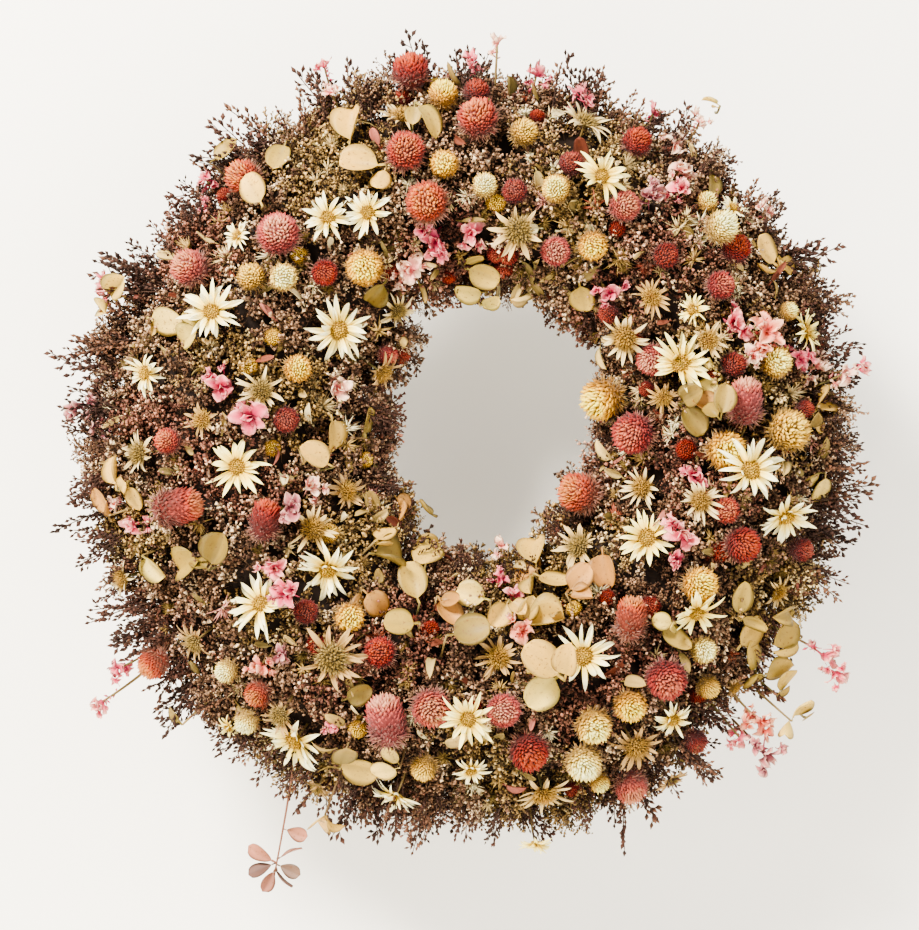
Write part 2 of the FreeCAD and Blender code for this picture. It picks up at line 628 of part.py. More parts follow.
def facing(right, up, depth, lean, index):
    """Which way a flower faces: out from the ring's core, turned a little, and towards its lean."""
    radius = math.hypot(right, up)
    core = size("ring_middle") + 0.45 * (radius - size("ring_middle"))
    out = Vector(right * (1 - core / radius), -(depth - 16.0), up * (1 - core / radius))
    out.normalize()
    stray = math.radians(index * GOLDEN_TURN)
    out += Vector(0.16 * math.sin(stray), 0, 0.16 * math.cos(stray))
    if lean is not None:
        a = math.radians(lean)
        out += Vector(0.75 * math.sin(a), 0, 0.75 * math.cos(a))
    return out.normalize()


def turned_to(axis, roll):
    """Turns a master's +Z to an axis, with its +Y at a clock angle as seen from the front."""
    a = math.radians(roll)
    up = Vector(math.sin(a), 0, math.cos(a))
    across = up.cross(axis)
    return Rotation(across, up, axis, "ZYX")


def ring_of_balls(radius, count, height, ball):
    turns = [2 * math.pi * n / count for n in range(count)]
    return [(radius * math.cos(t), radius * math.sin(t), height, ball) for t in turns]


# Balls that stand for each kind at its master's size, for keeping the pieces apart: x, y, z, radius
def covering_balls():
    globe = size("globe_radius")
    shift = size("oval_straight") / 2
    return {
        "globe": [(0, 0, 0, globe)],
        "oval": [(0, 0, z, globe) for z in (-shift, 0, shift)],
        "daisy": [(0, 0, 0.6, 5.8)] + ring_of_balls(10, 8, 2.6, 2.9) + ring_of_balls(16.5, 13, 4.6, 2.4),
        "tan": [(0, 0, 2.5, 8.0)] + ring_of_balls(12.5, 9, 2.0, 2.8) + ring_of_balls(17.5, 14, 2.8, 2.2),
        "blossom": [(0, 0, 1.0, 3.6)] + ring_of_balls(5.6, 6, 3.2, 2.9) + ring_of_balls(8.4, 8, 4.8, 1.8),
        "leaf": [(0, 0, 0, 1.6), (0, -12.5, 0, 1.4)] + ring_of_balls(4.6, 6, 0, 1.7)
        + ring_of_balls(8.6, 12, 0, 1.7),
    }


def above_cushion(balls):
    """Whether every ball is clear of the filler's surface, or behind its flat back."""
    for x, y, z, r in balls:
        clock = math.degrees(math.atan2(x, z)) % 360
        depth = -y - size("bunch_back")
        if depth < -r - 0.3:
            continue
        spread = max(3.0, math.degrees(r / math.hypot(x, z)))
        for near in (clock - spread, clock, clock + spread):
            middle, _, curve = cushion_arc(int(near // BUNCH_STEP) % BUNCHES + 1)
            above = depth + curve - size("bunch_height")
            if math.hypot(math.hypot(x, z) - middle, above) < curve + r + 0.4:
                return False
    return True


class Bed:
    """Keeps each flower clear of those placed before it."""

    CELL = 24.0

    def __init__(self):
        self.cells = {}

    def clear(self, balls):
        for x, y, z, r in balls:
            i, j = int(x // self.CELL), int(z // self.CELL)
            for key in [(i + a, j + b) for a in (-1, 0, 1) for b in (-1, 0, 1)]:
                for u, v, w, q in self.cells.get(key, ()):
                    reach = r + q + CLEARANCE
                    if (x - u) ** 2 + (y - v) ** 2 + (z - w) ** 2 < reach * reach:
                        return False
        return True

    def add(self, balls):
        for ball in balls:
            key = int(ball[0] // self.CELL), int(ball[2] // self.CELL)
            self.cells.setdefault(key, []).append(ball)


def moved_balls(balls, placement, scale):
    out = []
    for x, y, z, r in balls:
        p = placement.multVec(Vector(x, y, z) * scale)
        out.append((p.x, p.y, p.z, r * scale))
    return out


def stem_start(kind, placement, scale):
    """The point under a flower's head, or at the foot of a leaf's stalk, where its stem begins."""
    under_globe = math.sqrt(size("globe_radius") ** 2 - size("globe_base") ** 2)
    foot = {
        "globe": Vector(0, 0, -under_globe),
        "oval": Vector(0, 0, -size("oval_straight") / 2 - under_globe),
        "leaf": Vector(0, -size("leaf_radius") - size("leaf_stalk_length"), 0),
    }.get(kind, Vector(0, 0, -1.6))
    return placement.multVec(foot * scale)


def stem_ways(kind, start, axis):
    """Directions that a stem may take from its head back into the filler, the likeliest first."""
    radius = math.hypot(start.x, start.z)
    middle = size("ring_middle")
    inwards = Vector(start.x, 0, start.z) * ((middle - radius) / radius / 40.0)
    back = Vector(0, 1, 0) + inwards
    ways = [back, back + inwards * 0.7, Vector(0, 1, 0)]
    if kind != "leaf":
        ways.insert(0, back - axis)
    side = Vector(-start.z, 0, start.x) * (0.35 / radius)
    ways += [back + side, back - side]
    return [way.normalize() for way in ways]


def rod_balls(rod, radius):
    """Balls along a rod's start, way and length."""
    start, way, length = rod
    steps = int(length // 2)
    points = [start + way * (length * (n + 1) / steps) for n in range(steps)]
    return [(p.x, p.y, p.z, radius) for p in points]


def zone(right, up):
    return ("top" if up >= 0 else "bottom") + "_" + ("left" if right < 0 else "right")


def settle(bed, kind, master, place, index, unit):
    """Places one flower or leaf on the filler, in the first spot that is clear. Returns its copy and stem."""
    right, up, radius = place[:3]
    lean = place[3] if len(place) > 3 and kind != "oval" else None
    scale = radius / unit
    base = STAND_OFF[kind] + (radius if kind in ("globe", "oval") else 0.0)
    for lift, reach, clock in TRIES:
        a = math.radians(clock)
        x, z = right + reach * math.sin(a), up + reach * math.cos(a)
        depth = on_cushion(x, z, base) + lift
        if kind == "oval":
            lie = math.radians(place[3])
            axis = (Vector(math.sin(lie), 0, math.cos(lie)) + FRONT * 0.35).normalize()
        else:
            axis = facing(x, z, depth, lean, index)
        placement = Placement(Vector(x, -depth, z), turned_to(axis, index * GOLDEN_TURN))
        head = moved_balls(covering_balls()[kind], placement, scale)
        if not (above_cushion(head) and bed.clear(head)):
            continue
        start = stem_start(kind, placement, scale)
        for way in stem_ways(kind, start, axis):
            stem = start, way, stem_length(start)
            balls = rod_balls(stem, size("flower_stem") / 2)
            if bed.clear(balls):
                bed.add(head + balls)
                return copy_of(master, placement, scale), stem
    raise RuntimeError(f"no room for a {kind} at {place}")


def stem_length(start):
    """Long enough to end well inside the filler."""
    return on_surface_gap(start) + STEM_IN_FILLER


def on_surface_gap(point):
    """How far in front of the filler's surface a point stands, straight back towards the door."""
    return max(-point.y - on_cushion(point.x, point.z, 0.0), 0.0)


def build_flowers():
    """Places every kind, the flattest first, and sorts the pieces into the wreath's four quarters."""
    globe = globe_master("globe", 0.0)
    oval = globe_master("oval_globe", size("oval_straight"))
    daisy = daisy_master(
        "daisy", 13, size("daisy_radius"), size("daisy_petal_width"), size("daisy_centre"), 3.0, 15
    )
    tan = daisy_master("seed_daisy", 15, size("daisy_radius"), size("tan_petal_width"), size("tan_centre"), 6.5, 9)
    blossom = daisy_master(
        "blossom", 5, size("blossom_radius"), size("blossom_petal_width"), size("blossom_centre"), 2.0, 30
    )
    leaf = leaf_master("leaf", False)
    doc.recompute()
    bed, sorted_pieces, stems = Bed(), {}, {}
    for n in range(BUNCHES):
        for line in sprig_lines(n):
            bed.add(rod_balls(line, size("sprig_root") / 2))
    bed.add(rod_balls(hanging_sprig_line(), size("sprig_stem_top") / 2))
    for family, kind, master, places, unit in (
        ("red_globe_amaranth", "oval", oval, RED_OVALS, size("globe_radius")),
        ("red_globe_amaranth", "globe", globe, RED_GLOBES, size("globe_radius")),
        ("cream_globe_amaranth", "globe", globe, CREAM_GLOBES, size("globe_radius")),
        ("white_daisies", "daisy", daisy, WHITE_DAISIES, size("daisy_radius")),
        ("tan_daisies", "tan", tan, TAN_DAISIES, size("daisy_radius")),
        ("pink_larkspur", "blossom", blossom, PINK_BLOSSOMS, size("blossom_radius")),
        ("pale_leaves", "leaf", leaf, PALE_LEAVES, size("leaf_radius")),
    ):
        for index, place in enumerate(places):
            link, stem = settle(bed, kind, master, place, index, unit)
            part = zone(place[0], place[1])
            sorted_pieces.setdefault(f"{family}_{part}", []).append(link)
            stems.setdefault(f"flower_stems_{part}", []).append(stem_rod(stem))
    for label, pieces in (*sorted_pieces.items(), *stems.items()):
        group(label, pieces)


def stem_rod(stem):
    start, way, length = stem
    rod = doc.addObject("Part::Cylinder", "flower_stem")
    rod.setExpression("Radius", "Sizes.flower_stem / 2")
    rod.Height = length
    rod.Placement = Placement(start, Rotation(Vector(0, 0, 1), way))
    return rod


def hanging_sprig_line():
    """The eucalyptus sprig's stem: its start inside the filler, its way and its length."""
    depth = size("sprig_depth")
    start, foot = (Vector(right, -depth, up) for right, up in (SPRIG_TOP, SPRIG_FOOT))
    return start, (foot - start).normalize(), (foot - start).Length


def build_sprig():
    """The eucalyptus sprig that hangs below the rim: a thin stem with narrow leaves along it."""
    leaf = leaf_master("sprig_leaf", True)
    doc.recompute()
    start, way, length = hanging_sprig_line()
    rod = doc.addObject("Part::Cone", "eucalyptus_stem")
    rod.setExpression("Radius1", "Sizes.sprig_stem_top / 2")
    rod.setExpression("Radius2", "Sizes.sprig_stem_foot / 2")
    rod.Height = length
    rod.Placement = Placement(start, Rotation(Vector(0, 0, 1), way))
    keep(rod, "eucalyptus_sprig_stem")
    leaves = []
    for number, (right, up, radius, clock) in enumerate(SPRIG_LEAVES):
        side = -1 if number % 2 else 1
        tilt = Vector(0.25 * side, -1.0, 0.2)
        gap = size("sprig_leaf_gap") + size("sprig_leaf_step") * (number % 3)
        at = Vector(right, -size("sprig_depth") - gap, up)
        leaves.append(copy_of(leaf, Placement(at, turned_to(tilt.normalize(), clock)), radius / size("leaf_radius")))
    group("eucalyptus_sprig_leaves", leaves)


# ---------------------------------------------------------------------------------------------------------
# Checks and export
# ---------------------------------------------------------------------------------------------------------
def check_document():
    bad = [o.Name for o in doc.Objects if "Invalid" in o.State or "Error" in o.State]
    if bad:
        raise RuntimeError(f"objects in error: {bad[:12]}")


def shape_of(thing):
    return Part.getShape(thing) if thing.TypeId == "App::Link" else thing.Shape


def export():
    os.makedirs(OUT, exist_ok=True)
    for thing in nodes:
        shape = shape_of(thing)
        if shape.isNull() or not shape.isValid() or not shape.Solids:
            raise RuntimeError(f"{thing.Label} has no valid solid")
    for thing in nodes:
        shape = shape_of(thing)
        shape.exportStep(os.path.join(OUT, thing.Label + ".step"))
        print(f"{thing.Label}: {len(shape.Solids)} solids, {shape.Volume / 1000:.2f} cm3")


fill_sheet()
build_rings()
build_ties()
build_binding()
build_hanger()
build_stem_bundles()
build_bunches()
build_flowers()
build_sprig()
doc.recompute()
check_document()
export()
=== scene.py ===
"""The looks of a dried-flower harvest wreath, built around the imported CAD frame.

Every flower, leaf, stem and bunch is made where its CAD solid is. The script reads the solids' centres, axes
and sizes from the frame, so it holds no places of its own. Metres; the front is -Y and up is +Z. Clock
angles run clockwise from the top, as seen from the front.
"""

import math
from functools import partial

import bpy
import numpy as np
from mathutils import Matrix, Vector


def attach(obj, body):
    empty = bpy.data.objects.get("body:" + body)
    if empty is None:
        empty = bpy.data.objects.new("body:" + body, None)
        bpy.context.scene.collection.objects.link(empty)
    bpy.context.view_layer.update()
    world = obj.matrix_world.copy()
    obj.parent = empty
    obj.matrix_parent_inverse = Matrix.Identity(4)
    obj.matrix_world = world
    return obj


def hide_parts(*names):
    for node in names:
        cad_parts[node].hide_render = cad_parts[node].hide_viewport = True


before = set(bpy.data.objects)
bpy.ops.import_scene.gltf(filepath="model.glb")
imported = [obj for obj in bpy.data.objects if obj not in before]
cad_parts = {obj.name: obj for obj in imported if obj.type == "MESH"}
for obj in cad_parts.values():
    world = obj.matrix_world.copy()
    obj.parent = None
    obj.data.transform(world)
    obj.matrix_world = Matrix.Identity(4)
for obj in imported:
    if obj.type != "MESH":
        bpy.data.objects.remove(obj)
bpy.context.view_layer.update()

MM = 0.001
GOLDEN_ANGLE = math.pi * (3 - math.sqrt(5))
SEED = 20
BODY = "wreath"
BUNCHES = 10
ZONES = ("top_left", "top_right", "bottom_left", "bottom_right")
FLOWER_KINDS = (
    "red_globe_amaranth", "cream_globe_amaranth", "white_daisies", "tan_daisies", "pink_larkspur",
    "pale_leaves",
)


# ---- Small tools ----
def rng_for(name):
    """A random generator of the piece's own, so that one piece's draws don't change another's."""
    return np.random.default_rng([SEED, *name.encode()])


def linear(code):
    """A screen colour, given as six hex digits, as the renderer's linear colour."""
    c = np.array([int(code[n : n + 2], 16) for n in (0, 2, 4)]) / 255.0
    return np.where(c <= 0.04045, c / 12.92, ((c + 0.055) / 1.055) ** 2.4)


def colours(codes):
    """The linear colours of a row of hex codes."""
    return [linear(code) for code in codes.split()]


def pick(options, rng):
    return options[rng.integers(len(options))]


def pick_tones(odds_of, count, rng):
    """Colours drawn from a table of hex codes and how often each one comes."""
    odds = np.array(list(odds_of.values()), float)
    table = np.array([linear(code) for code in odds_of])
    return table[rng.choice(len(table), count, p=odds / odds.sum())]


def unit(v):
    v = np.asarray(v, float)
    return v / np.maximum(np.linalg.norm(v, axis=-1, keepdims=True), 1e-12)


def square_to(v, axis):
    """The part of a vector that is square to a unit axis, made one long."""
    return unit(v - axis * (v @ axis))


def turns(axes, rolls):
    """Rotation matrices whose third column is each axis, rolled about it."""
    z = unit(np.atleast_2d(axes))
    rolls = np.broadcast_to(np.asarray(rolls, float), len(z))
    helper = np.where(np.abs(z[:, 2:3]) < 0.95, (0.0, 0.0, 1.0), (1.0, 0.0, 0.0))
    x = unit(np.cross(helper, z))
    y = np.cross(z, x)
    c, s = np.cos(rolls)[:, None], np.sin(rolls)[:, None]
    return np.stack((x * c + y * s, y * c - x * s, z), axis=2)


def turn(axis, roll=0.0):
    return turns(axis, roll)[0]


def ramp(stops, at):
    """Colours along a list of evenly spaced colour stops, at values from 0 to 1."""
    stops = np.asarray(stops)
    knots = np.linspace(0, 1, len(stops))
    return np.stack([np.interp(at, knots, stops[:, c]) for c in range(3)], axis=-1)


def circle(around, reach=1.0, high=0.0):
    """Points at angles about +Z, at a reach from it and a height along it."""
    around, reach, high = np.broadcast_arrays(around, reach, high)
    return np.stack((reach * np.cos(around), reach * np.sin(around), high), axis=-1)


def round_wreath(clock, reach=1.0, y=0.0):
    """Points at clock angles, here in radians, at a reach from the wreath's axis."""
    clock, reach, y = np.broadcast_arrays(clock, reach, y)
    return np.stack((reach * np.sin(clock), y, reach * np.cos(clock)), axis=-1)


def clock_span(points):
    """The first and last clock angle of some points, in degrees."""

    def clock_of(spots):
        return np.degrees(np.arctan2(spots[..., 0], spots[..., 2])) % 360

    start = clock_of(points.mean(axis=0))
    spread = (clock_of(points) - start + 180) % 360 - 180
    return start + spread.min(), start + spread.max()


def new_object(name, data):
    thing = bpy.data.objects.new(name, data)
    bpy.context.scene.collection.objects.link(thing)
    return thing


class Heap:
    """Gathers shapes and their tints, then makes one object of them."""

    def __init__(self):
        self.points, self.tints, self.faces, self.count = [], [], [], 0

    def add(self, shape, tints, spin=np.eye(3), centre=(0, 0, 0)):
        """A shape is its points and its faces: an array of corners, or a list of such arrays."""
        points, faces = shape
        self.points.append(np.asarray(points, float) @ spin.T + centre)
        self.tints.append(np.broadcast_to(tints, points.shape))
        for group in faces if isinstance(faces, list) else [faces]:
            self.faces.append(np.asarray(group) + self.count)
        self.count += len(points)

    def build(self, name, material, node):
        """Makes the piece that stands for a CAD node."""
        mesh = bpy.data.meshes.new(name)
        points = np.concatenate(self.points)
        corners = np.concatenate([group.ravel() for group in self.faces])
        totals = np.concatenate([np.full(len(group), group.shape[1]) for group in self.faces])
        mesh.vertices.add(len(points))
        mesh.vertices.foreach_set("co", points.astype(np.float32).ravel())
        mesh.loops.add(len(corners))
        mesh.loops.foreach_set("vertex_index", corners.astype(np.int32))
        mesh.polygons.add(len(totals))
        starts = np.concatenate(([0], np.cumsum(totals)[:-1]))
        mesh.polygons.foreach_set("loop_start", starts.astype(np.int32))
        mesh.update(calc_edges=True)
        mesh.polygons.foreach_set("use_smooth", np.ones(len(totals), bool))
        tints = np.concatenate([np.concatenate(self.tints), np.ones((len(points), 1))], axis=1)
        layer = mesh.color_attributes.new("tint", "FLOAT_COLOR", "POINT")
        layer.data.foreach_set("color", np.clip(tints, 0, 1).astype(np.float32).ravel())
        mesh.materials.append(material)
        piece = new_object(name, mesh)
        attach(piece, BODY)
        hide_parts(node)


# ---- Shapes ----
def even_turns(sides):
    """The angles of a round's corners."""
    return np.arange(sides) * 2 * math.pi / sides


def spindle(sides, belly):
    """A closed spindle one long on +Z and one in radius, widest at the belly."""
    points = np.vstack(((0, 0, 0), circle(even_turns(sides), 1, belly), (0, 0, 1)))
    faces = []
    for n in range(sides):
        here, following = 1 + n, 1 + (n + 1) % sides
        faces += [(0, following, here), (here, following, sides + 1)]
    return points, np.array(faces)


def funnel(sides):
    """A closed funnel one long on +Z and one in radius, with its point at the foot."""
    sloping = [(0, 1 + (n + 1) % sides, 1 + n) for n in range(sides)]
    mouth = [(1, 2 + n, 3 + n) for n in range(sides - 2)]
    return np.vstack(((0, 0, 0), circle(even_turns(sides), 1, 1))), np.array(sloping + mouth)


def scatter(shape, places, bases, scales):
    """Copies of a shape at many places, as one array of points and one of faces."""
    points, faces = shape
    moved = np.einsum("nij,nkj->nki", bases, points[None] * scales[:, None, :]) + places[:, None, :]
    steps = (np.arange(len(places)) * len(points))[:, None, None]
    return moved.reshape(-1, 3), (faces[None] + steps).reshape(-1, faces.shape[1])


def grid_faces(rings, sides):
    """The walls and end caps of a closed tube of rings."""
    rows, corners = np.arange(rings - 1)[:, None] * sides, np.arange(sides)[None, :]
    a = (rows + corners).ravel()
    b = (rows + (corners + 1) % sides).ravel()
    walls = np.stack((a, b, b + sides, a + sides), axis=1)
    caps = np.array([np.arange(sides)[::-1], np.arange(sides) + (rings - 1) * sides])
    return [walls, caps]


def blade(half_widths, line, across, cup, fold, ripple, waves, phase, thick=0.25 * MM):
    """A thin closed petal or leaf along +X, and each point's place along it and across it.

    line gives how far out and how high the middle is at each station. cup and fold lift the edges, in a
    round and in a V shape, and ripple waves them.
    """
    n = len(half_widths)
    t = np.linspace(0, 1, n)[:, None]
    u = np.linspace(-1, 1, across + 1)[None, :]
    wide = half_widths[:, None]
    wave = ripple * np.sin(waves * 2 * math.pi * t + phase + 1.3 * np.sign(u)) * np.abs(u) ** 1.5
    height = line[:, 1:2] + cup * wide * u**2 + fold * wide * np.abs(u) + wave
    top = np.stack((line[:, 0:1] + 0 * u, wide * u, height), axis=2)
    under = top[:, -2:0:-1].copy()
    under[..., 2] -= thick
    ring = np.concatenate((top, under), axis=1)
    along = np.repeat(t[:, 0], ring.shape[1])
    over = np.tile(np.concatenate((u[0], u[0, -2:0:-1])), n)
    return ring.reshape(-1, 3), grid_faces(n, ring.shape[1]), along, over


def tube(path, radii, sides=6):
    """A closed tube along a path."""
    path = np.asarray(path, float)
    ahead = unit(np.gradient(path, axis=0))
    side = unit(np.cross(ahead, (0.31, 0.88, 0.36)))
    lift = np.cross(side, ahead)
    round_it = circle(even_turns(sides))
    across = round_it[None, :, 0:1] * side[:, None] + round_it[None, :, 1:2] * lift[:, None]
    rings = path[:, None] + np.asarray(radii)[:, None, None] * across
    return rings.reshape(-1, 3), grid_faces(len(path), sides)


def curve_through(start, middle, end, count):
    """Points along a quadratic curve that is pulled towards its middle point."""
    t = np.linspace(0, 1, count)[:, None]
    return (1 - t) ** 2 * start + 2 * t * (1 - t) * middle + t**2 * end


BUD = spindle(3, 0.5)
CALYX = funnel(3)
BRACT = spindle(4, 0.35)
HAIR = spindle(3, 0.15)


def shaded_root_lit_tip(shape, tones, root, tip_highlight_gain):
    """The tints of a shape's copies, each of its own tone, with painted shade at the root and a painted
    highlight towards the tip.
    """
    shades = np.tile(root + tip_highlight_gain * shape[0][:, 2], len(tones))
    return np.repeat(tones, len(shape[0]), axis=0) * shades[:, None]


def add_hairs(heap, roots, ways, lengths, width, tones, shape=HAIR):
    """Thin bristles, with painted shade at the root and a painted highlight towards the tip."""
    scales = np.stack((np.full(len(roots), width), np.full(len(roots), width), lengths), axis=1)
    heap.add(scatter(shape, roots, turns(ways, 0.0), scales), shaded_root_lit_tip(shape, tones, 0.65, 0.45))


# ---- Reading the CAD solids ----
def solids(node):
    """The separate solids of a CAD node, each as an array of its points, in a steady order.

    Points closer than the weld are one point, and points that edges join are one solid.
    """
    weld = 10e-3 * MM
    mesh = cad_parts[node].data
    points = np.empty(len(mesh.vertices) * 3, np.float32)
    mesh.vertices.foreach_get("co", points)
    points = points.reshape(-1, 3).astype(float)
    edges = np.empty(len(mesh.edges) * 2, np.int32)
    mesh.edges.foreach_get("vertices", edges)
    welded, which = np.unique(np.round(points / weld).astype(np.int64), axis=0, return_inverse=True)
    edges = which.ravel()[edges.reshape(-1, 2)]
    label = np.arange(len(welded))
    while True:
        low = np.minimum(label[edges[:, 0]], label[edges[:, 1]])
        new = label.copy()
        np.minimum.at(new, edges[:, 0], low)
        np.minimum.at(new, edges[:, 1], low)
        new = new[new]
        if (new == label).all():
            break
        label = new
    spots = np.zeros((len(welded), 3))
    spots[which.ravel()] = points
    return [spots[label == name] for name in np.unique(label)]


def principal(points):
    """The middle of some points and their axes, the longest first, as rows."""
    middle = points.mean(axis=0)
    return middle, np.linalg.svd(points - middle, full_matrices=False)[2]


def flat_face(axes):
    """The axis across something flat, pointed to the front."""
    return axes[2] * (1 if axes[2][1] < 0 else -1)


def rod_ends(points):
    """The two ends of a straight rod, the front one first."""
    middle, axes = principal(points)
    along = (points - middle) @ axes[0]
    cap = 0.3 * MM
    ends = [points[along < along.min() + cap].mean(axis=0), points[along > along.max() - cap].mean(axis=0)]
    return sorted(ends, key=lambda p: p[1])


def ball_of(points):
    """The centre and radius of the ball that points lie on."""
    a = np.column_stack((2 * points, np.ones(len(points))))
    found = np.linalg.lstsq(a, (points**2).sum(axis=1), rcond=None)[0]
    return found[:3], math.sqrt(found[3] + found[:3] @ found[:3])


def new_head(centre, axis, radius, half):
    return {"centre": centre, "axis": axis, "radius": radius, "half": half}


def read_head(points, foot):
    """A flower head's centre, axis, radius and, for a long head, its half length."""
    middle, axes = principal(points)
    reach = np.ptp((points - middle) @ axes.T, axis=0) / 2
    if reach[2] > 0.55 * reach[0]:  # as deep as it is wide: a globe
        if reach[0] > 1.15 * reach[2]:
            axis = axes[0] * np.sign((middle - foot) @ axes[0])
            return new_head(foot + axis * reach[0], axis, reach[2], reach[0])
        centre, radius = ball_of(points)
        return new_head(centre, unit(centre - foot), radius, radius)
    axis = axes[2] * np.sign((middle - foot) @ axes[2])
    off = points - foot
    radius = np.linalg.norm(off - (off @ axis)[:, None] * axis, axis=1).max()
    return new_head(foot, axis, radius, radius)


def read_leaf(points, foot):
    """A leaf's foot, the way it grows, the way it faces and its whole length."""
    face = flat_face(principal(points)[1])
    way = points[np.linalg.norm(points - foot, axis=1).argmax()] - foot
    length = np.linalg.norm(way)
    return {
        "foot": foot, "way": way / length, "axis": face, "length": length,
        "centre": foot + way * 0.58, "radius": length * 0.42,
    }


def own_stems(pieces, starts):
    """Each piece's own stem: the nearest start that no nearer piece has taken."""
    gaps = np.array([np.linalg.norm(p[:, None] - starts[None], axis=2).min(axis=0) for p in pieces])
    chosen = {}
    taken = set()
    for flat in gaps.ravel().argsort():
        piece, stem = divmod(int(flat), len(starts))
        if piece not in chosen and stem not in taken:
            chosen[piece] = stem
            taken.add(stem)
    return [chosen[n] for n in range(len(pieces))]


def read_flowers():
    """All flower heads and leaves by node, and all flower stems by zone, as front and back ends."""
    heads, stems = {}, {}
    for zone in ZONES:
        stems[zone] = [rod_ends(s) for s in solids(f"flower_stems_{zone}")]
        pieces, owners = [], []
        for kind in FLOWER_KINDS:
            found = solids(f"{kind}_{zone}")
            pieces += found
            owners += [kind] * len(found)
        own = own_stems(pieces, np.array([front for front, _ in stems[zone]]))
        for points, kind, stem in zip(pieces, owners, own):
            front, back = stems[zone][stem]
            head = read_leaf(points, front) if kind == "pale_leaves" else read_head(points, front)
            head["back"] = unit(back - front)
            heads.setdefault(f"{kind}_{zone}", []).append(head)
    return heads, stems


# ---- Materials ----
def new_material(name):
    material = bpy.data.materials.new(name)
    material.use_nodes = True
    return material


def feed(node, inputs):
    """Gives a node's inputs, by name or number, a constant or a link from another node's output."""
    for name, source in inputs.items():
        socket = node.inputs[name]
        if isinstance(source, bpy.types.NodeSocket):
            socket.id_data.links.new(source, socket)
        else:
            socket.default_value = source


def add_node(material, kind, inputs, output=0, **settings):
    """A new shader node, set up and fed. Returns the named or numbered output."""
    node = material.node_tree.nodes.new("ShaderNode" + kind)
    for name, value in settings.items():
        setattr(node, name, value)
    feed(node, inputs)
    return node.outputs[output]


def tinted_material(name, roughness, grain, share, bump, bump_scale, sheen=0.0, specks=0.0):
    """A dry plant surface: the mesh's own tint under a fine grain, brown specks and a fine bump."""
    material = new_material(name)
    add = partial(add_node, material)
    tint = add("VertexColor", {}, layer_name="tint")
    place = add("TexCoord", {}, "Object")
    noise = add("TexNoise", {"Vector": place, "Scale": grain, "Detail": 5.0, "Roughness": 0.65})
    mottle_range = {"From Min": 0.25, "From Max": 0.75, "To Min": 1 - share, "To Max": 1 + share}
    mottle = add("MapRange", {"Value": noise, **mottle_range})
    mottled = add("VectorMath", {0: tint, "Scale": mottle}, operation="SCALE")
    spots = add("TexNoise", {"Vector": place, "Scale": 620.0, "Detail": 2.0})
    speckled = add("MapRange", {"Value": spots, "From Min": 0.60, "From Max": 0.72, "To Max": specks})
    brown = (*linear("704a2c"), 1)
    colour = add("Mix", {"Factor": speckled, "A": mottled, "B": brown}, "Result", data_type="RGBA")
    rough = add("MapRange", {"Value": noise, "To Min": roughness - 0.12, "To Max": roughness + 0.12})
    fine = add("TexNoise", {"Vector": place, "Scale": bump_scale, "Detail": 3.0})
    relief = add("Bump", {"Height": fine, "Strength": bump, "Distance": 0.3 * MM})
    sockets = {"Base Color": colour, "Roughness": rough, "Normal": relief}
    constants = {"Specular IOR Level": 0.25, "Sheen Weight": sheen}
    feed(material.node_tree.nodes["Principled BSDF"], sockets | constants)
    return material


def wire_material(name, colour, worn, metallic, roughness, wear):
    """Drawn wire: enamel or zinc, worn in patches, with fine draw marks."""
    material = new_material(name)
    add = partial(add_node, material)
    place = add("TexCoord", {}, "Object")
    patches = add("TexNoise", {"Vector": place, "Scale": 90.0, "Detail": 8.0, "Roughness": 0.7})
    paint = add("ValToRGB", {"Fac": patches})
    for stop, at, shade in zip(paint.node.color_ramp.elements, (wear, wear + 0.12), (colour, worn)):
        stop.position = at
        stop.color = (*linear(shade), 1)
    rough = add("MapRange", {"Value": patches, "To Min": roughness - 0.12, "To Max": roughness + 0.2})
    marks = add("TexNoise", {"Vector": place, "Scale": 1400.0})
    relief = add("Bump", {"Height": marks, "Strength": 0.25, "Distance": 0.1 * MM})
    sockets = {"Base Color": paint, "Roughness": rough, "Normal": relief, "Metallic": metallic}
    feed(material.node_tree.nodes["Principled BSDF"], sockets)
    return material


# ---- Globe amaranth ----

# Colours from the widest part of a head to its top: partly the heads' own colours, partly painted shade on
# the sides and painted light on the top
RED_RAMPS = [
    colours("64372c 8e3428 a9402a c47349"),
    colours("6d4238 99443c b05441 cb8964"),
    colours("4f2018 721a11 922514 ad4824"),
    colours("683b28 933b24 ae4928 c87d43"),
    colours("703e38 973e3a b25346 cd9072"),
    colours("5a2723 832a26 9e352c be684e"),
]
DARK_RED_RAMPS = [
    colours("3f1f18 5d1910 771f13 93371f"),
    colours("42211d 631e19 7c281f 994732"),
]
CREAM_RAMPS = [
    colours("7f5b23 bd903c f7d365 fff494"),
    colours("77511d b37e28 edb83c ffe561"),
    colours("886834 c8a556 fde586 fffab8"),
    colours("6a4f1f 9a742c ce9f40 f1cd5f"),
]
SMALL_GLOBE = 9.2 * MM  # most red heads under this radius are dark ones
RED_FUZZ = colours("96654f 845642 9f6e5e")
CREAM_FUZZ = colours("9c7740 8b683d ab8b55")


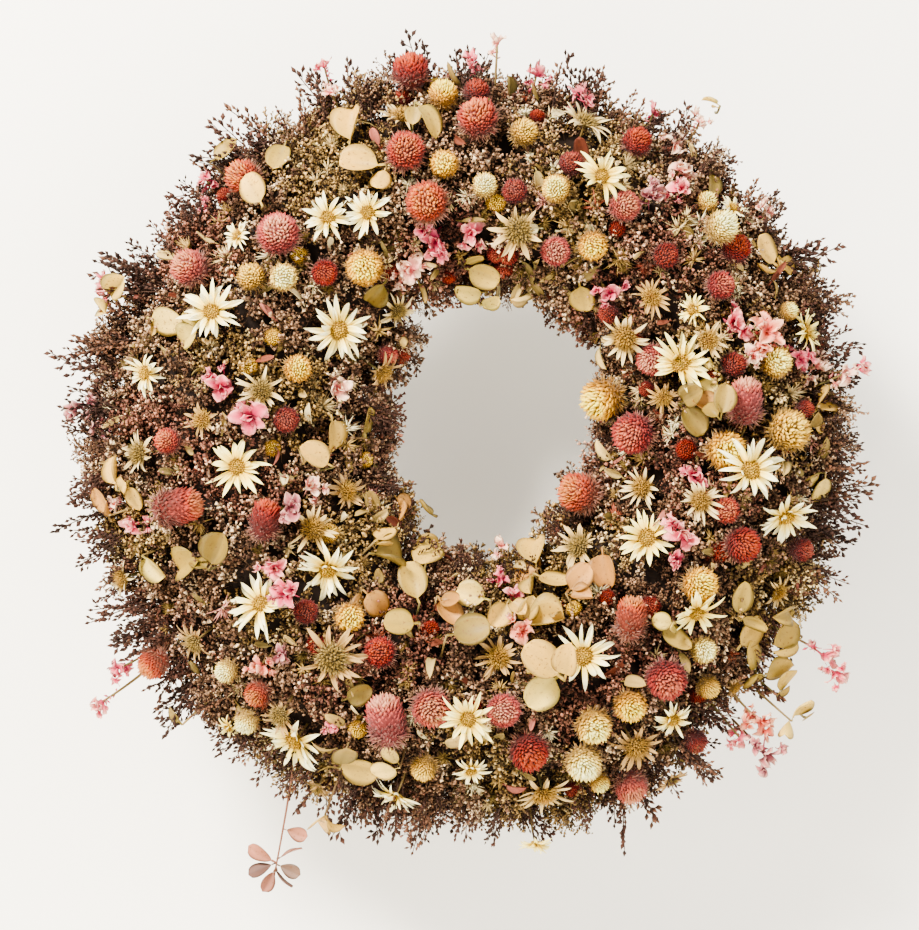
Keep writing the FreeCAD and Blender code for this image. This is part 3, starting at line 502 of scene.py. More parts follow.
def add_globe(heap, head, stops, fuzz, rng):
    """A head of many pointed scales in a spiral round a core, above a collar of fuzzy bristles."""
    radius, half = head["radius"], head["half"]
    count = int(90 + 14 * radius / MM)
    lowest, depth = -0.8, 0.62
    n = np.arange(count)
    up = 1 - (1 - lowest) * (n + 0.5) / count
    flat = np.sqrt(1 - up**2)
    out = circle(n * GOLDEN_ANGLE, flat, up)
    loose = rng.uniform(0.08, 0.22)
    grow = unit(out + np.array((0, 0, 1.1)) * (0.2 + flat)[:, None] + rng.normal(0, loose, (count, 3)))
    root = out * radius * depth
    root[:, 2] += np.sign(up) * np.minimum(np.abs(up) * 2, 1) * (half - radius)
    length = radius * rng.uniform(0.38, 0.54, count)
    wide = radius * rng.uniform(0.095, 0.150, count)
    scales = np.stack((wide, wide * 0.5, length), axis=1)
    bracts = scatter(BRACT, root, turns(grow, rng.normal(0, 0.4, count)), scales)
    # The ramp by height paints shade on the sides of the head and light on its top, over its own colours
    share = np.clip((up + 0.25) / 1.15, 0, 1) ** 1.15
    tones = ramp(stops, np.clip(share + rng.normal(0, 0.08, count), 0, 1))
    tones = tones * rng.uniform(0.82, 1.15, (count, 1))
    spin = turn(head["axis"], rng.uniform(0, 6.3))
    # Each scale gets painted shade at its root and a painted highlight at its tip
    heap.add(bracts, shaded_root_lit_tip(BRACT, tones, 0.5, 0.6), spin, head["centre"])
    # The core under the scales is painted dark as shade in the gaps between them
    heap.add(ball(radius * 0.78, half - radius), stops[1] * 0.45, spin, head["centre"])
    bristles = int(30 + 5 * radius / MM)
    around = rng.uniform(0, 2 * math.pi, bristles)
    low = rng.uniform(-0.95, 0.0, bristles)
    out = circle(around, np.sqrt(1 - low**2), low)
    roots = out * radius * 0.7 - np.array((0, 0, half - radius))
    ways = out + np.array((0, 0, 0.35)) + rng.normal(0, 0.2, (bristles, 3))
    tones = np.array(fuzz)[rng.integers(len(fuzz), size=bristles)] * rng.uniform(0.8, 1.2, (bristles, 1))
    lengths = radius * rng.uniform(0.35, 0.55, bristles)
    add_hairs(heap, roots @ spin.T + head["centre"], unit(ways) @ spin.T, lengths, 0.045 * radius, tones)


def ball(radius, stretch):
    """A plain ball with its two halves moved apart along +Z."""
    rings, sides = 9, 14
    polar = np.linspace(math.pi - 0.25, 0.25, rings)[:, None]
    high = np.cos(polar) * radius + np.sign(np.cos(polar)) * stretch
    points = circle(even_turns(sides)[None], np.sin(polar) * radius, high)
    return points.reshape(-1, 3), grid_faces(rings, sides)


def add_red_globe(heap, head, rng):
    small = head["radius"] < SMALL_GLOBE
    ramps = DARK_RED_RAMPS if small and rng.random() < 0.7 else RED_RAMPS
    add_globe(heap, head, pick(ramps, rng), RED_FUZZ, rng)


def add_cream_globe(heap, head, rng):
    add_globe(heap, head, pick(CREAM_RAMPS, rng), CREAM_FUZZ, rng)


# ---- Daisies, seed heads and larkspur ----
def draw_petal(rng, root, long, wide, rise, droop, cup, fold, blunt, ripple=None):
    """A petal's shape. Rise and droop are a mean and a spread, and the other pairs are ranges."""
    return {
        "root": root, "length": rng.uniform(*long), "width": rng.uniform(*wide), "rise": rng.normal(*rise),
        "droop": rng.normal(*droop), "cup": rng.uniform(*cup), "fold": rng.uniform(*fold),
        "ripple": rng.uniform(*ripple) if ripple else 0.15 * MM, "blunt": rng.uniform(*blunt),
    }


def add_petal(heap, centre, spin, clock, shape, stops, rng, pale=None):
    """One petal of a drawn shape, at a clock angle about the flower's middle."""
    stations = 8
    t = np.linspace(0, 1, stations)
    belly = 0.34 + 0.66 * np.sin(np.clip(0.12 + 0.80 * t, 0, 1) * math.pi)
    profile = belly * np.sqrt(np.clip(1 - t ** shape["blunt"], 0.006, 1))
    length, width = shape["length"], shape["width"]
    angle = shape["rise"] - shape["droop"] * t**1.5
    step = length / (stations - 1)
    out = np.concatenate(([0], np.cumsum(np.cos(angle[:-1]) * step)))
    high = np.concatenate(([0], np.cumsum(np.sin(angle[:-1]) * step)))
    line = np.stack((shape["root"] + out, high), axis=1)
    points, faces, along, over = blade(
        width / 2 * profile, line, across=4, cup=shape["cup"], fold=shape["fold"], ripple=shape["ripple"],
        phase=rng.uniform(0, 6), waves=rng.uniform(0.8, 2.0),
    )
    points[:, 1] += rng.normal(0, 0.14) * (points[:, 0] - shape["root"]) ** 2 / length
    twist = rng.normal(0, 0.25) * along
    points[:, 1], points[:, 2] = (
        points[:, 1] * np.cos(twist) - (points[:, 2] - high[-1] * along) * np.sin(twist),
        points[:, 2] + points[:, 1] * np.sin(twist),
    )
    c, s = math.cos(clock), math.sin(clock)
    flat = points @ np.array(((c, s, 0), (-s, c, 0), (0, 0, 1)))
    colour = ramp(stops, along)
    if pale is not None:
        share = (np.abs(over) ** 2 * 0.5 * along)[:, None]
        colour = colour * (1 - share) + pale * share
    # Painted shade along the petal's middle groove
    groove_shade = 1 - 0.10 * np.exp(-((over / 0.3) ** 2))
    heap.add((flat, faces), colour * rng.uniform(0.86, 1.05) * groove_shade[:, None], spin, centre)


def add_florets(heap, head, spin, radius, rise, count, size, stops, rng, spread=0.6):
    """A domed flower centre of many small florets in a spiral."""
    n = np.arange(count)
    reach = np.sqrt((n + 0.5) / count)
    side = circle(n * GOLDEN_ANGLE)
    root = side * (radius * reach)[:, None] + np.outer(rise * (1 - reach**2), (0, 0, 1))
    lean = side * (spread * reach)[:, None] + (0, 0, 1) + rng.normal(0, 0.14, (count, 3))
    long = size * rng.uniform(0.7, 1.3, count)
    wide = np.full(count, radius * 1.15 / math.sqrt(count))
    florets = scatter(BRACT, root, turns(lean, 0.0), np.stack((wide, wide, long), axis=1))
    tones = ramp(stops, reach) * rng.uniform(0.65, 1.3, (count, 1))
    # Each floret gets painted shade at its root and a painted highlight at its tip
    heap.add(florets, shaded_root_lit_tip(BRACT, tones, 0.5, 0.6), spin, head["centre"])
    # The disc under the florets is painted dark as shade in the gaps between them
    disc = np.outer(np.linspace(-1.6 * MM, rise, 5), (0, 0, 1))
    profile = radius * np.array((0.45, 1.0, 0.95, 0.72, 0.3))
    heap.add(tube(disc, profile, 12), stops[0] * 0.45, spin, head["centre"])


WHITE_PETALS = colours("e6be42 ffe680 fff8c8 fff6ca")
CREAM_PETALS = colours("d6ae3c fadc68 fff3a6 faeaa4")
DAISY_CENTRE = colours("cea842 be922e 8a6422")


def add_white_daisy(heap, head, rng):
    radius = head["radius"]
    spin = turn(head["axis"], rng.uniform(0, 6.3))
    stops = WHITE_PETALS if rng.random() < 0.6 else CREAM_PETALS
    centre = radius * rng.uniform(0.24, 0.31)
    root = centre * 0.7
    for layer, count in enumerate((int(rng.integers(14, 19)), int(rng.integers(8, 12)))):
        start = rng.uniform(0, 2 * math.pi)
        reach = (radius - root) * (1 - 0.22 * layer)
        for n in range(count):
            if rng.random() < 0.08:
                continue
            shape = draw_petal(
                rng, root, (0.76 * reach, 1.14 * reach), (0.11 * radius, 0.22 * radius),
                rise=(0.20 + 0.40 * layer, 0.26), droop=(0.25, 0.6),
                cup=(0.1, 1.1), fold=(-0.1, 0.6), blunt=(2.5, 7),
            )
            clock = start + 2 * math.pi * (n + rng.normal(0, 0.22)) / count
            add_petal(heap, head["centre"], spin, clock, shape, stops, rng)
    add_florets(heap, head, spin, centre, radius * 0.10, 70, 1.8 * MM, DAISY_CENTRE, rng)


TAN_PETALS = [
    colours("936c31 bf9d5d d4b97e cdb07d"),
    colours("8b652c c6a968 dbc693 d7c398"),
    colours("7f5b2c a47f48 b99660 a98759"),
]
SEED_CENTRE = [
    colours("b18738 9f7933 876831"),
    colours("a1732a a88034 b18e47"),
    colours("91773b 846c34 98814d"),
]


def add_tan_daisy(heap, head, rng):
    """A faded flower gone to seed: a bristly centre, and thin petals that hang further to one side."""
    radius = head["radius"]
    spin = turn(head["axis"], rng.uniform(0, 6.3))
    stops = pick(TAN_PETALS, rng)
    centre = radius * rng.uniform(0.28, 0.40)
    count = int(rng.integers(14, 21))
    low_side = rng.uniform(0, 2 * math.pi)
    root = centre * 0.75
    for n in range(count):
        if rng.random() < 0.14:
            continue
        clock = 2 * math.pi * (n + rng.normal(0, 0.3)) / count
        hang = 0.5 + 0.5 * math.cos(clock - low_side)
        reach = (radius - root) * (1 + 0.3 * hang)
        shape = draw_petal(
            rng, root, (0.62 * reach, 0.9 * reach), (0.10 * radius, 0.19 * radius),
            rise=(0.5 - 0.35 * hang, 0.22), droop=(0.2 + 0.35 * hang, 0.4),
            cup=(0.1, 0.9), fold=(-0.1, 0.6), blunt=(3, 7),
        )
        add_petal(heap, head["centre"], spin, clock, shape, stops, rng)
    seeds = pick(SEED_CENTRE, rng)
    add_florets(heap, head, spin, centre, radius * 0.18, 80, 0.20 * radius, seeds, rng, 1.1)
    bristles = int(40 + 3 * radius / MM)
    reach = np.sqrt(rng.uniform(0, 1, bristles))
    side = circle(rng.uniform(0, 2 * math.pi, bristles))
    roots = side * (centre * reach)[:, None] + np.outer(radius * 0.16 * (1 - reach**2), (0, 0, 1))
    ways = side * (1.5 * reach)[:, None] + (0, 0, 0.8) + rng.normal(0, 0.15, (bristles, 3))
    tones = ramp(seeds, reach) * rng.uniform(0.9, 1.5, (bristles, 1))
    lengths = radius * rng.uniform(0.22, 0.38, bristles)
    add_hairs(heap, roots @ spin.T + head["centre"], unit(ways) @ spin.T, lengths, 0.25 * MM, tones)


PINK_PETALS = [
    colours("be2d4f da556a e78384 edaf9a"),
    colours("9f1e41 c43657 da5d6f e28684"),
    colours("d16267 e79e8c f0c5a7 f2d7b7"),
    colours("793343 9b4c56 b66b6c c58e7e"),
    colours("c04a44 dc725a e99776 ecb38f"),
]
PINK_ODDS = (0.30, 0.26, 0.2, 0.12, 0.12)
PALE_EDGE = linear("ffe8d2")


def add_floret(heap, centre, axis, radius, stops, rng):
    """One crumpled larkspur floret with a thin spur behind it."""
    spin = turn(axis, rng.uniform(0, 6.3))
    for layer, (count, share) in enumerate(((5, 1.0), (3, 0.62))):
        for n in range(count):
            reach = radius * share
            shape = draw_petal(
                rng, 0.05 * radius, (0.7 * reach, 1.2 * reach), (0.5 * reach, 0.9 * reach),
                rise=(0.6 + 0.5 * layer, 0.5), droop=(0.3, 1.1),
                cup=(0.0, 1.2), fold=(-0.5, 0.8), blunt=(4, 9), ripple=(0.07 * radius, 0.17 * radius),
            )
            clock = 2 * math.pi * (n + 0.5 * layer + rng.normal(0, 0.2)) / count
            add_petal(heap, centre, spin, clock, shape, stops, rng, PALE_EDGE)
    back = np.array((0.35 * rng.normal(), 0.35 * rng.normal(), -0.8)) * radius
    path = curve_through(np.zeros(3), np.array((0, 0, -0.4 * radius)), back, 5)
    girths = np.linspace(0.09, 0.03, len(path)) * radius
    heap.add(tube(path, girths, 4), stops[1] * 0.8, spin, centre)


def add_blossom(heap, head, rng):
    """The end of a larkspur spike: a large floret, smaller ones beside it and closed buds."""
    radius = head["radius"]
    stops = PINK_PETALS[rng.choice(5, p=PINK_ODDS)]
    add_floret(heap, head["centre"], head["axis"], radius * 1.05, stops, rng)
    for _ in range(3 if radius > 8 * MM else 2):
        side = unit(rng.normal(0, 1, 3) + head["back"] * 0.6)
        centre = head["centre"] + side * radius * rng.uniform(0.7, 1.1)
        axis = unit(head["axis"] * 0.7 + side + rng.normal(0, 0.3, 3))
        add_floret(heap, centre, axis, radius * rng.uniform(0.45, 0.68), stops, rng)
    buds = 7
    along = rng.uniform(0.1, 1.5, buds)[:, None] * radius
    roots = head["centre"] + head["back"] * along
    ways = unit(rng.normal(0, 1, (buds, 3)) - head["back"] * 0.6)
    tones = np.array(stops)[rng.integers(0, 3, buds)] * rng.uniform(0.6, 1.0, (buds, 1))
    add_hairs(heap, roots, ways, radius * rng.uniform(0.4, 0.7, buds), 0.11 * radius, tones, BUD)


# ---- Leaves and stems ----
LEAF_TONES = colours("dbb05d cba656 ba9b4d a48842 e5c46f 90783c c28c4d d6bb66 b19345")


def add_leaf(heap, leaf, tone, rng, roundness=0.84, limp=1.0, lean=1.0):
    """A dried leaf on a short stalk: cupped, folded along its midrib, curled at the tip and turned a little.

    A lean over 1 moves its widest part towards the tip.
    """
    length = leaf["length"]
    stalk = 0.17 * length
    disc = length - stalk
    t = np.linspace(0, 1, 12)
    lobe = np.sqrt(np.clip(1 - (2 * t**lean - 1) ** 2, 0, 1)) * (1.06 - 0.16 * t) + 0.03
    widest = disc / 2 * roundness * rng.uniform(0.88, 1.14)
    half_widths = np.concatenate((np.full(3, 0.03 * length), widest * lobe))
    out = np.concatenate((np.linspace(0, stalk * 0.9, 3), stalk + disc * t))
    curl = rng.normal(0.0, 0.36 * limp) * length
    high = curl * ((out / length) ** 2.2 - 0.4 * out / length)
    line = np.stack((out, high), axis=1)
    points, faces, along, over = blade(
        half_widths, line, across=6, cup=rng.normal(0.3, 0.3) * limp, fold=abs(rng.normal(0, 0.38)) * limp,
        ripple=rng.uniform(0, 0.055) * length, waves=rng.uniform(0.5, 1.4), phase=rng.uniform(0, 6),
        thick=0.35 * MM,
    )
    face = unit(leaf["axis"] + np.cross(leaf["axis"], leaf["way"]) * rng.normal(0, 0.36 * limp))
    spin = np.column_stack((leaf["way"], np.cross(face, leaf["way"]), face))
    veins = 1 - 0.16 * np.exp(-((over / 0.13) ** 2))
    edge = 1 - 0.45 * np.abs(over) ** 6
    foot = 0.66 + 0.38 * along
    green = 1 - rng.uniform(0, 0.22) * np.outer((1 - along) ** 2, (1.0, 0.35, 0.6))
    heap.add((points, faces), tone * green * (veins * edge * foot)[:, None], spin, leaf["foot"])


def add_leaf_pair(heap, leaf, rng):
    """A leaf, and for about half of them its smaller partner on the same stalk, a little behind it."""
    tone = pick(LEAF_TONES, rng)
    add_leaf(heap, leaf, tone, rng)
    if rng.random() < 0.55:
        swing = rng.choice((-1, 1)) * rng.uniform(0.7, 1.5)
        way = leaf["way"] * math.cos(swing) + np.cross(leaf["axis"], leaf["way"]) * math.sin(swing)
        face = unit(leaf["axis"] + rng.normal(0, 0.35, 3))
        way = square_to(way, face)
        foot = leaf["foot"] - leaf["axis"] * 1.5 * MM
        length = leaf["length"] * rng.uniform(0.6, 0.85)
        partner = {"foot": foot, "way": way, "axis": face, "length": length}
        add_leaf(heap, partner, tone * rng.uniform(0.8, 1.0), rng)


def add_stem(heap, front, back, thick, tone, rng):
    """A thin bowed stem, thicker where it enters the bunch. Deep ones run on into it a little."""
    length = np.linalg.norm(back - front)
    way = (back - front) / length
    frame_front, most_added = 31 * MM, 14 * MM
    back = back + way * np.clip((-back[1] - frame_front) / max(way[1], 0.2), 0, most_added)
    middle = (front + back) / 2 + rng.normal(0, 0.07, 3) * length
    path = curve_through(front, middle, back, 7)
    heap.add(tube(path, thick * np.linspace(0.8, 1.15, len(path))), tone)


STALK_TONES = colours("735f38 89734a 5f4a2f 6c623c")


# ---- Sea lavender ----
def put_twig(spray, path, girths):
    """Adds a twig to a spray, a heap on +Z whose tints say which points are buds and how light each is."""
    spray.add(tube(path, np.array(girths) * MM, 3), (0, 1, 0))


def put_buds(spray, template, roots, ways, longs, girth, rng, light=(0.5, 1.6)):
    """Adds buds of a shape at many roots, each with its own size and lightness, and with painted shade at
    its root and a painted highlight at its tip.
    """
    count = len(roots)
    longs = longs * rng.uniform(0.75, 1.3, count)
    wide = longs * girth * rng.uniform(0.8, 1.2, count)
    bases = turns(ways, rng.uniform(0, 6.3, count))
    buds = scatter(template, np.array(roots), bases, np.stack((wide, wide, longs), axis=1))
    shades = rng.uniform(*light, count) ** 1.3
    spray.add(buds, (1, 0, 0) + shaded_root_lit_tip(template, shades[:, None], 0.7, 0.5) * (0, 1, 0))


def spray_parts(spray):
    """A spray's points, its faces as triangles, which points are buds and how light each point is."""
    marks = np.concatenate(spray.tints)
    fans = [group[:, (0, n, n + 1)] for group in spray.faces for n in range(1, group.shape[1] - 1)]
    return np.concatenate(spray.points), np.concatenate(fans), marks[:, 0] > 0, marks[:, 1]


def fluff_spray(rng, length=13 * MM, branches=6, bud=2.1 * MM):
    """A small bushy spray with buds all round it."""
    spray = Heap()
    bare, round_step, bud_step = 0.25, 2.4, 1.3 * MM
    bow = rng.normal(0, 0.18, 2) * length

    def spine(t):
        return np.stack((bow[0] * t**2, bow[1] * t**2, length * t), axis=-1)

    put_twig(spray, spine(np.linspace(0, 1, 3)), (0.30, 0.24, 0.16))
    roots, ways = [spine(np.array(1.0))], [np.array((0, 0, 1.0))]
    for n in range(branches):
        t = bare + (1 - bare) * (n + rng.uniform(0.1, 0.9)) / branches
        start = spine(np.array(t))
        side = n * round_step + rng.normal(0, 0.5)
        way = unit((1.05 * math.cos(side), 1.05 * math.sin(side), 1.0))
        long = length * (0.22 + 0.30 * (1 - t)) * rng.uniform(0.75, 1.25)
        put_twig(spray, np.linspace(start, start + way * long, 2), (0.2, 0.14))
        for share in np.arange(1.0, 0.1, -bud_step / long):
            roots.append(start + way * long * share + rng.normal(0, 0.14, 3) * bud)
            ways.append(way + rng.normal(0, 0.5, 3))
    put_buds(spray, CALYX, roots, ways, bud, 0.40, rng)
    return spray_parts(spray)


def wisp_spray(rng, length=40 * MM, pitch=3.4 * MM, bud=4.1 * MM):
    """A flat fern-like sprig: side twigs left and right in one plane, each with a row of long buds."""
    spray = Heap()
    bare, bud_step = 0.22, 2.3 * MM
    bow = rng.normal(0, 0.12) * length

    def spine(t):
        return np.stack((bow * t**2, 0.02 * length * np.sin(3 * t), length * t), axis=-1)

    put_twig(spray, spine(np.linspace(0, 1, 6)), np.linspace(0.52, 0.30, 6))
    roots, ways = [spine(np.array(1.0))], [np.array((0, 0, 1.0))]
    leafy = (1 - bare) * length
    for n in range(int(leafy / pitch)):
        t = bare + (1 - bare) * n * pitch / leafy
        start = spine(np.array(t))
        side = 1 if n % 2 else -1
        way = unit((side * rng.uniform(0.7, 1.0), rng.normal(0, 0.22), 1.0))
        long = length * (0.07 + 0.22 * (1 - t)) * rng.uniform(0.6, 1.2)
        put_twig(spray, np.linspace(start, start + way * long, 2), (0.28, 0.2))
        for k, share in enumerate(np.arange(1.0, 0.1, -bud_step / long)):
            roots.append(start + way * long * share)
            ways.append(way + np.array((0.55 * (1 if k % 2 else -1), rng.normal(0, 0.2), 0.25)))
    put_buds(spray, BUD, roots, ways, bud, 0.29, rng, (0.6, 1.35))
    return spray_parts(spray)


def spray_family(name, count, make, **sizes):
    rng = rng_for(name)
    return [make(rng, **sizes) for _ in range(count)]


FLUFF = spray_family("fluff", 12, fluff_spray)
PLUMES = spray_family("plumes", 8, fluff_spray, length=27 * MM, branches=12)
WISPS = spray_family("wisps", 10, wisp_spray)
FLUFF_GAP = 5.5 * MM
# Bud colours, each with how often it comes. A patch of the filler keeps to one family of them.
BROWN_BUDS = {"8c6e55": 4, "684d39": 4, "bea484": 1.6, "4d3629": 2.4}
GOLD_BUDS = {"977b4e": 4, "786039": 4, "bca576": 1.5, "534228": 2}
RED_BUDS = {"825846": 4, "623e32": 3, "b08c73": 1.3, "4b2d22": 2.2}
WISP_TONES = {"4d3228": 4, "39261f": 3, "6f4d3a": 1.4}
TWIG_TONE = linear("68503c")
DARK_TWIG_TONE = linear("4a362c")
# Near-black painted shadow for the inside of each bunch
CORE_SHADOW_TONE = linear("281d17")


def patchy_tones(places, rng):
    """Bud colours in soft patches of brown, gold and dull red."""
    count = len(places)
    x, y, z = (places / MM).T
    patch = np.sin(x * 0.045 + 1.3 * np.sin(z * 0.031)) + np.sin(z * 0.052 - 0.7 + 0.8 * np.sin(x * 0.04))
    patch = (patch + rng.normal(0, 0.35, count))[:, None]
    brown, gold, red = (pick_tones(tones, count, rng) for tones in (BROWN_BUDS, GOLD_BUDS, RED_BUDS))
    return np.where(patch > 0.9, gold, np.where(patch < -1.0, red, brown))


def add_sprays(heap, family, places, ways, sizes, tones, rng, twig_tone=TWIG_TONE):
    """Puts sprays of a family at places, growing along ways."""
    which = rng.integers(len(family), size=len(places))
    rolls = rng.uniform(0, 2 * math.pi, len(places))
    for n, (points, faces, buds, shades) in enumerate(family):
        mine = which == n
        if not mine.any():
            continue
        scales = np.repeat(sizes[mine][:, None], 3, axis=1)
        copies = scatter((points, faces), places[mine], turns(ways[mine], rolls[mine]), scales)
        colour = np.repeat(tones[mine], len(points), axis=0) * np.tile(shades, mine.sum())[:, None]
        is_bud = np.tile(buds, mine.sum())[:, None]
        heap.add(copies, np.where(is_bud, colour, twig_tone))


class Cushion:
    """The D-shaped mass of one bunch, read from its CAD solid."""

    def __init__(self, points):
        out = np.hypot(points[:, 0], points[:, 2])
        self.inner, self.outer = out.min(), out.max()
        self.back, self.front = -points[:, 1].max(), -points[:, 1].min()
        first, last = clock_span(points)
        self.clock, self.arc = (first + last) / 2, last - first
        half, height = (self.outer - self.inner) / 2, self.front - self.back
        self.middle = (self.inner + self.outer) / 2
        self.curve = (half**2 + height**2) / (2 * height)
        self.widest = math.asin(min(half / self.curve, 1.0))

    def any_clock(self, rng, count=None):
        """Random clock angles within the bunch."""
        return self.clock + rng.uniform(-0.5, 0.5, count) * self.arc

    def surface(self, share, clock, lift=0.0):
        """Points and normals on the front. share runs from -1 at the inner rim to 1 at the outer."""
        angle = share * self.widest
        reach = self.middle + (self.curve + lift) * np.sin(angle)
        deep = self.front - self.curve + (self.curve + lift) * np.cos(angle)
        a = np.radians(clock)
        return round_wreath(a, reach, -deep), round_wreath(a, np.sin(angle), -np.cos(angle))


def bumps(points):
    """Soft uneven heights, the sum of a few waves."""
    x, y, z = (points / MM).T
    return (
        np.sin(x * 0.31 + 1.1) * np.sin(z * 0.27 + 0.4) + 0.7 * np.sin(x * 0.13 - z * 0.17 + y * 0.2)
        + 0.5 * np.sin(x * 0.71 + z * 0.55) * np.cos(y * 0.6 + z * 0.4)
    )


def add_shadow_core(heap, cushion):
    """The inside of a bunch: a closed bumpy mass just under the buds, painted near-black as painted shadow.
    """
    section, slices, sunk = 22, 15, 7 * MM
    shares = np.linspace(-0.97, 0.97, section)
    rows = []
    for clock in cushion.clock + np.linspace(-0.505, 0.505, slices) * cushion.arc:
        front, normals = cushion.surface(shares, np.full(section, clock), -sunk)
        front = front + normals * (bumps(front) * 1.3 * MM)[:, None]
        front[:, 1] = np.minimum(front[:, 1], -cushion.back - 1.5 * MM)
        back = front[::-1].copy()
        back[:, 1] = -cushion.back - 1.0 * MM + bumps(back * 1.7) * 0.5 * MM
        rows.append(np.vstack((front, back)))
    points = np.array(rows)
    heap.add((points.reshape(-1, 3), grid_faces(*points.shape[:2])), CORE_SHADOW_TONE)


def fluff_spots(cushion, gap, rng):
    """Uneven spots all over a bunch's front, about a gap apart: shares across it and clock angles."""
    shares, clocks = [], []
    rows = int(2.1 * cushion.widest * cushion.curve / gap)
    past_rim, past_ends = 1.06, 1.04
    for share in np.linspace(-past_rim, past_rim, rows):
        reach = cushion.middle + cushion.curve * math.sin(share * cushion.widest)
        count = int(math.radians(cushion.arc) * past_ends * reach / gap)
        along = (np.arange(count) + rng.uniform(0, 1, count)) / count - 0.5
        clocks.append(cushion.clock + along * past_ends * cushion.arc)
        shares.append(share + rng.uniform(-1, 1, count) / rows)
    return np.concatenate(shares), np.concatenate(clocks)


def hidden_by(tips, heads):
    """Whether each tip would stand in a flower head or in front of it."""
    share, below, above, behind = 0.95, 3 * MM, 40 * MM, 2 * MM
    blocked = np.zeros(len(tips), bool)
    for head in heads:
        off = tips - head["centre"]
        high = off @ head["axis"]
        wide = np.linalg.norm(off - high[:, None] * head["axis"], axis=1)
        seen = np.hypot(off[:, 0], off[:, 2])
        in_head = (wide < share * head["radius"]) & (high > -below) & (high < above)
        in_view = (seen < share * head["radius"]) & (off[:, 1] < behind)
        blocked |= in_head | in_view
    return blocked


def tips_hidden(places, ways, sizes, length, heads):
    """The same for sprays, whose length is that of one of size 1."""
    return hidden_by(places + ways * (sizes * length)[:, None], heads)


def add_front_fluff(heap, cushion, heads, rng):
    """Sprays all over the front. Those under a flower stay short, and the few that can't are left out."""
    shares, clocks = fluff_spots(cushion, FLUFF_GAP, rng)
    count = len(shares)
    places, normals = cushion.surface(shares, clocks, -7.5 * MM)
    flow = round_wreath(np.radians(clocks + 90))
    ways = unit(normals + 0.35 * flow + rng.normal(0, 0.34, (count, 3)))
    sizes = rng.uniform(0.85, 1.45, count)
    for _ in range(2):
        sizes = np.where(tips_hidden(places, ways, sizes, 15 * MM, heads), 0.7 * sizes, sizes)
    keep = ~tips_hidden(places, ways, sizes, 13 * MM, heads)
    tones = patchy_tones(places, rng)
    add_sprays(heap, FLUFF, places[keep], ways[keep], sizes[keep], tones[keep], rng)


def add_rim_lumps(heap, cushion, heads, rng):
    """Plumes in tufts that break the even outline of both rims."""
    places, ways, sizes = [], [], []
    for side, tufts in ((1, 8), (-1, 3)):
        for _ in range(tufts):
            clock = cushion.any_clock(rng)
            big = rng.uniform(0.45, 1.05) if side > 0 else rng.uniform(0.4, 0.65)
            root, normal = cushion.surface(side * rng.uniform(0.80, 1.0), clock, -6 * MM)
            a = math.radians(clock)
            lean = side * round_wreath(a) + 0.3 * normal + 0.5 * round_wreath(a + math.pi / 2)
            for _ in range(6):
                places.append(root + rng.normal(0, 3.4, 3) * MM)
                ways.append(unit(lean + rng.normal(0, 0.4, 3)))
                sizes.append(big * rng.uniform(0.75, 1.15))
    places, ways, sizes = np.array(places), np.array(ways), np.array(sizes)
    keep = ~tips_hidden(places, ways, sizes, 26 * MM, heads)
    tones = patchy_tones(places, rng) * 0.9
    add_sprays(heap, PLUMES, places[keep], ways[keep], sizes[keep], tones[keep], rng)


# How many odds and ends one bunch has, and their colours with how often each one comes
BACK_SPRAYS = 230
BACK_STALKS = 44
TUFTS = 46
LEAF_BITS = 44
BURIED_GLOBES = 7
SEED_TUFT_TONES = {"9b7d49": 4, "806837": 4, "68562c": 3, "773726": 2, "baa16e": 2}
SPENT_FLOWER_TONES = {"d6bc86": 4, "b8985c": 4, "ecdcb0": 3, "a0563e": 1, "ce8e80": 1}
LEAF_BIT_TONES = {"cfb171": 4, "ae9155": 4, "897545": 3, "e0cd9c": 2, "b36c5c": 1.5, "7e4431": 1.5}


def buried_spots(cushion, heads, count, lift, rng):
    """Spots on a bunch's front that no flower stands on, with their normals."""
    shares = rng.uniform(-0.95, 0.95, count)
    places, normals = cushion.surface(shares, cushion.any_clock(rng, count), lift)
    clear = ~hidden_by(places + normals * 4 * MM, heads) & ~hidden_by(places + normals * 9 * MM, heads)
    return places[clear], normals[clear]


def add_tufts(heap, cushion, heads, rng):
    """Half-hidden seed heads and, every second time, spent flowers with fewer and wider petals."""
    places, normals = buried_spots(cushion, heads, TUFTS, 4.0 * MM, rng)
    for n, (place, normal) in enumerate(zip(places, normals)):
        if n % 2:
            tones, bristles, spread, width, longer = SPENT_FLOWER_TONES, 26, 1.1, 0.85 * MM, 1.25
        else:
            tones, bristles, spread, width, longer = SEED_TUFT_TONES, 60, 0.75, 0.42 * MM, 1.0
        tone = pick_tones(tones, 1, rng)
        ways = unit(rng.normal(0, spread, (bristles, 3)) + normal * 1.2 + rng.normal(0, 0.3, 3))
        long = rng.uniform(5.0, 9.5) * MM * rng.uniform(0.7, 1.1, bristles) * longer
        roots = np.repeat((place - normal * 1.5 * MM)[None], bristles, axis=0)
        add_hairs(heap, roots, ways, long, width, tone * rng.uniform(0.6, 1.25, (bristles, 1)))


def add_leaf_bits(heap, cushion, heads, rng):
    """Curled bits of leaves and petals caught among the buds."""
    places, normals = buried_spots(cushion, heads, LEAF_BITS, 5.5 * MM, rng)
    for place, normal, tone in zip(places, normals, pick_tones(LEAF_BIT_TONES, len(places), rng)):
        face = unit(normal + rng.normal(0, 0.55, 3))
        way = unit(np.cross(face, rng.normal(0, 1, 3)) + 0.35 * normal)
        face = square_to(face, way)
        bit = {"foot": place, "way": way, "axis": face, "length": rng.uniform(8, 19) * MM}
        tone = tone * rng.uniform(0.7, 1.1)
        add_leaf(heap, bit, tone, rng, rng.uniform(0.22, 0.6), 1.2, rng.uniform(0.8, 1.4))


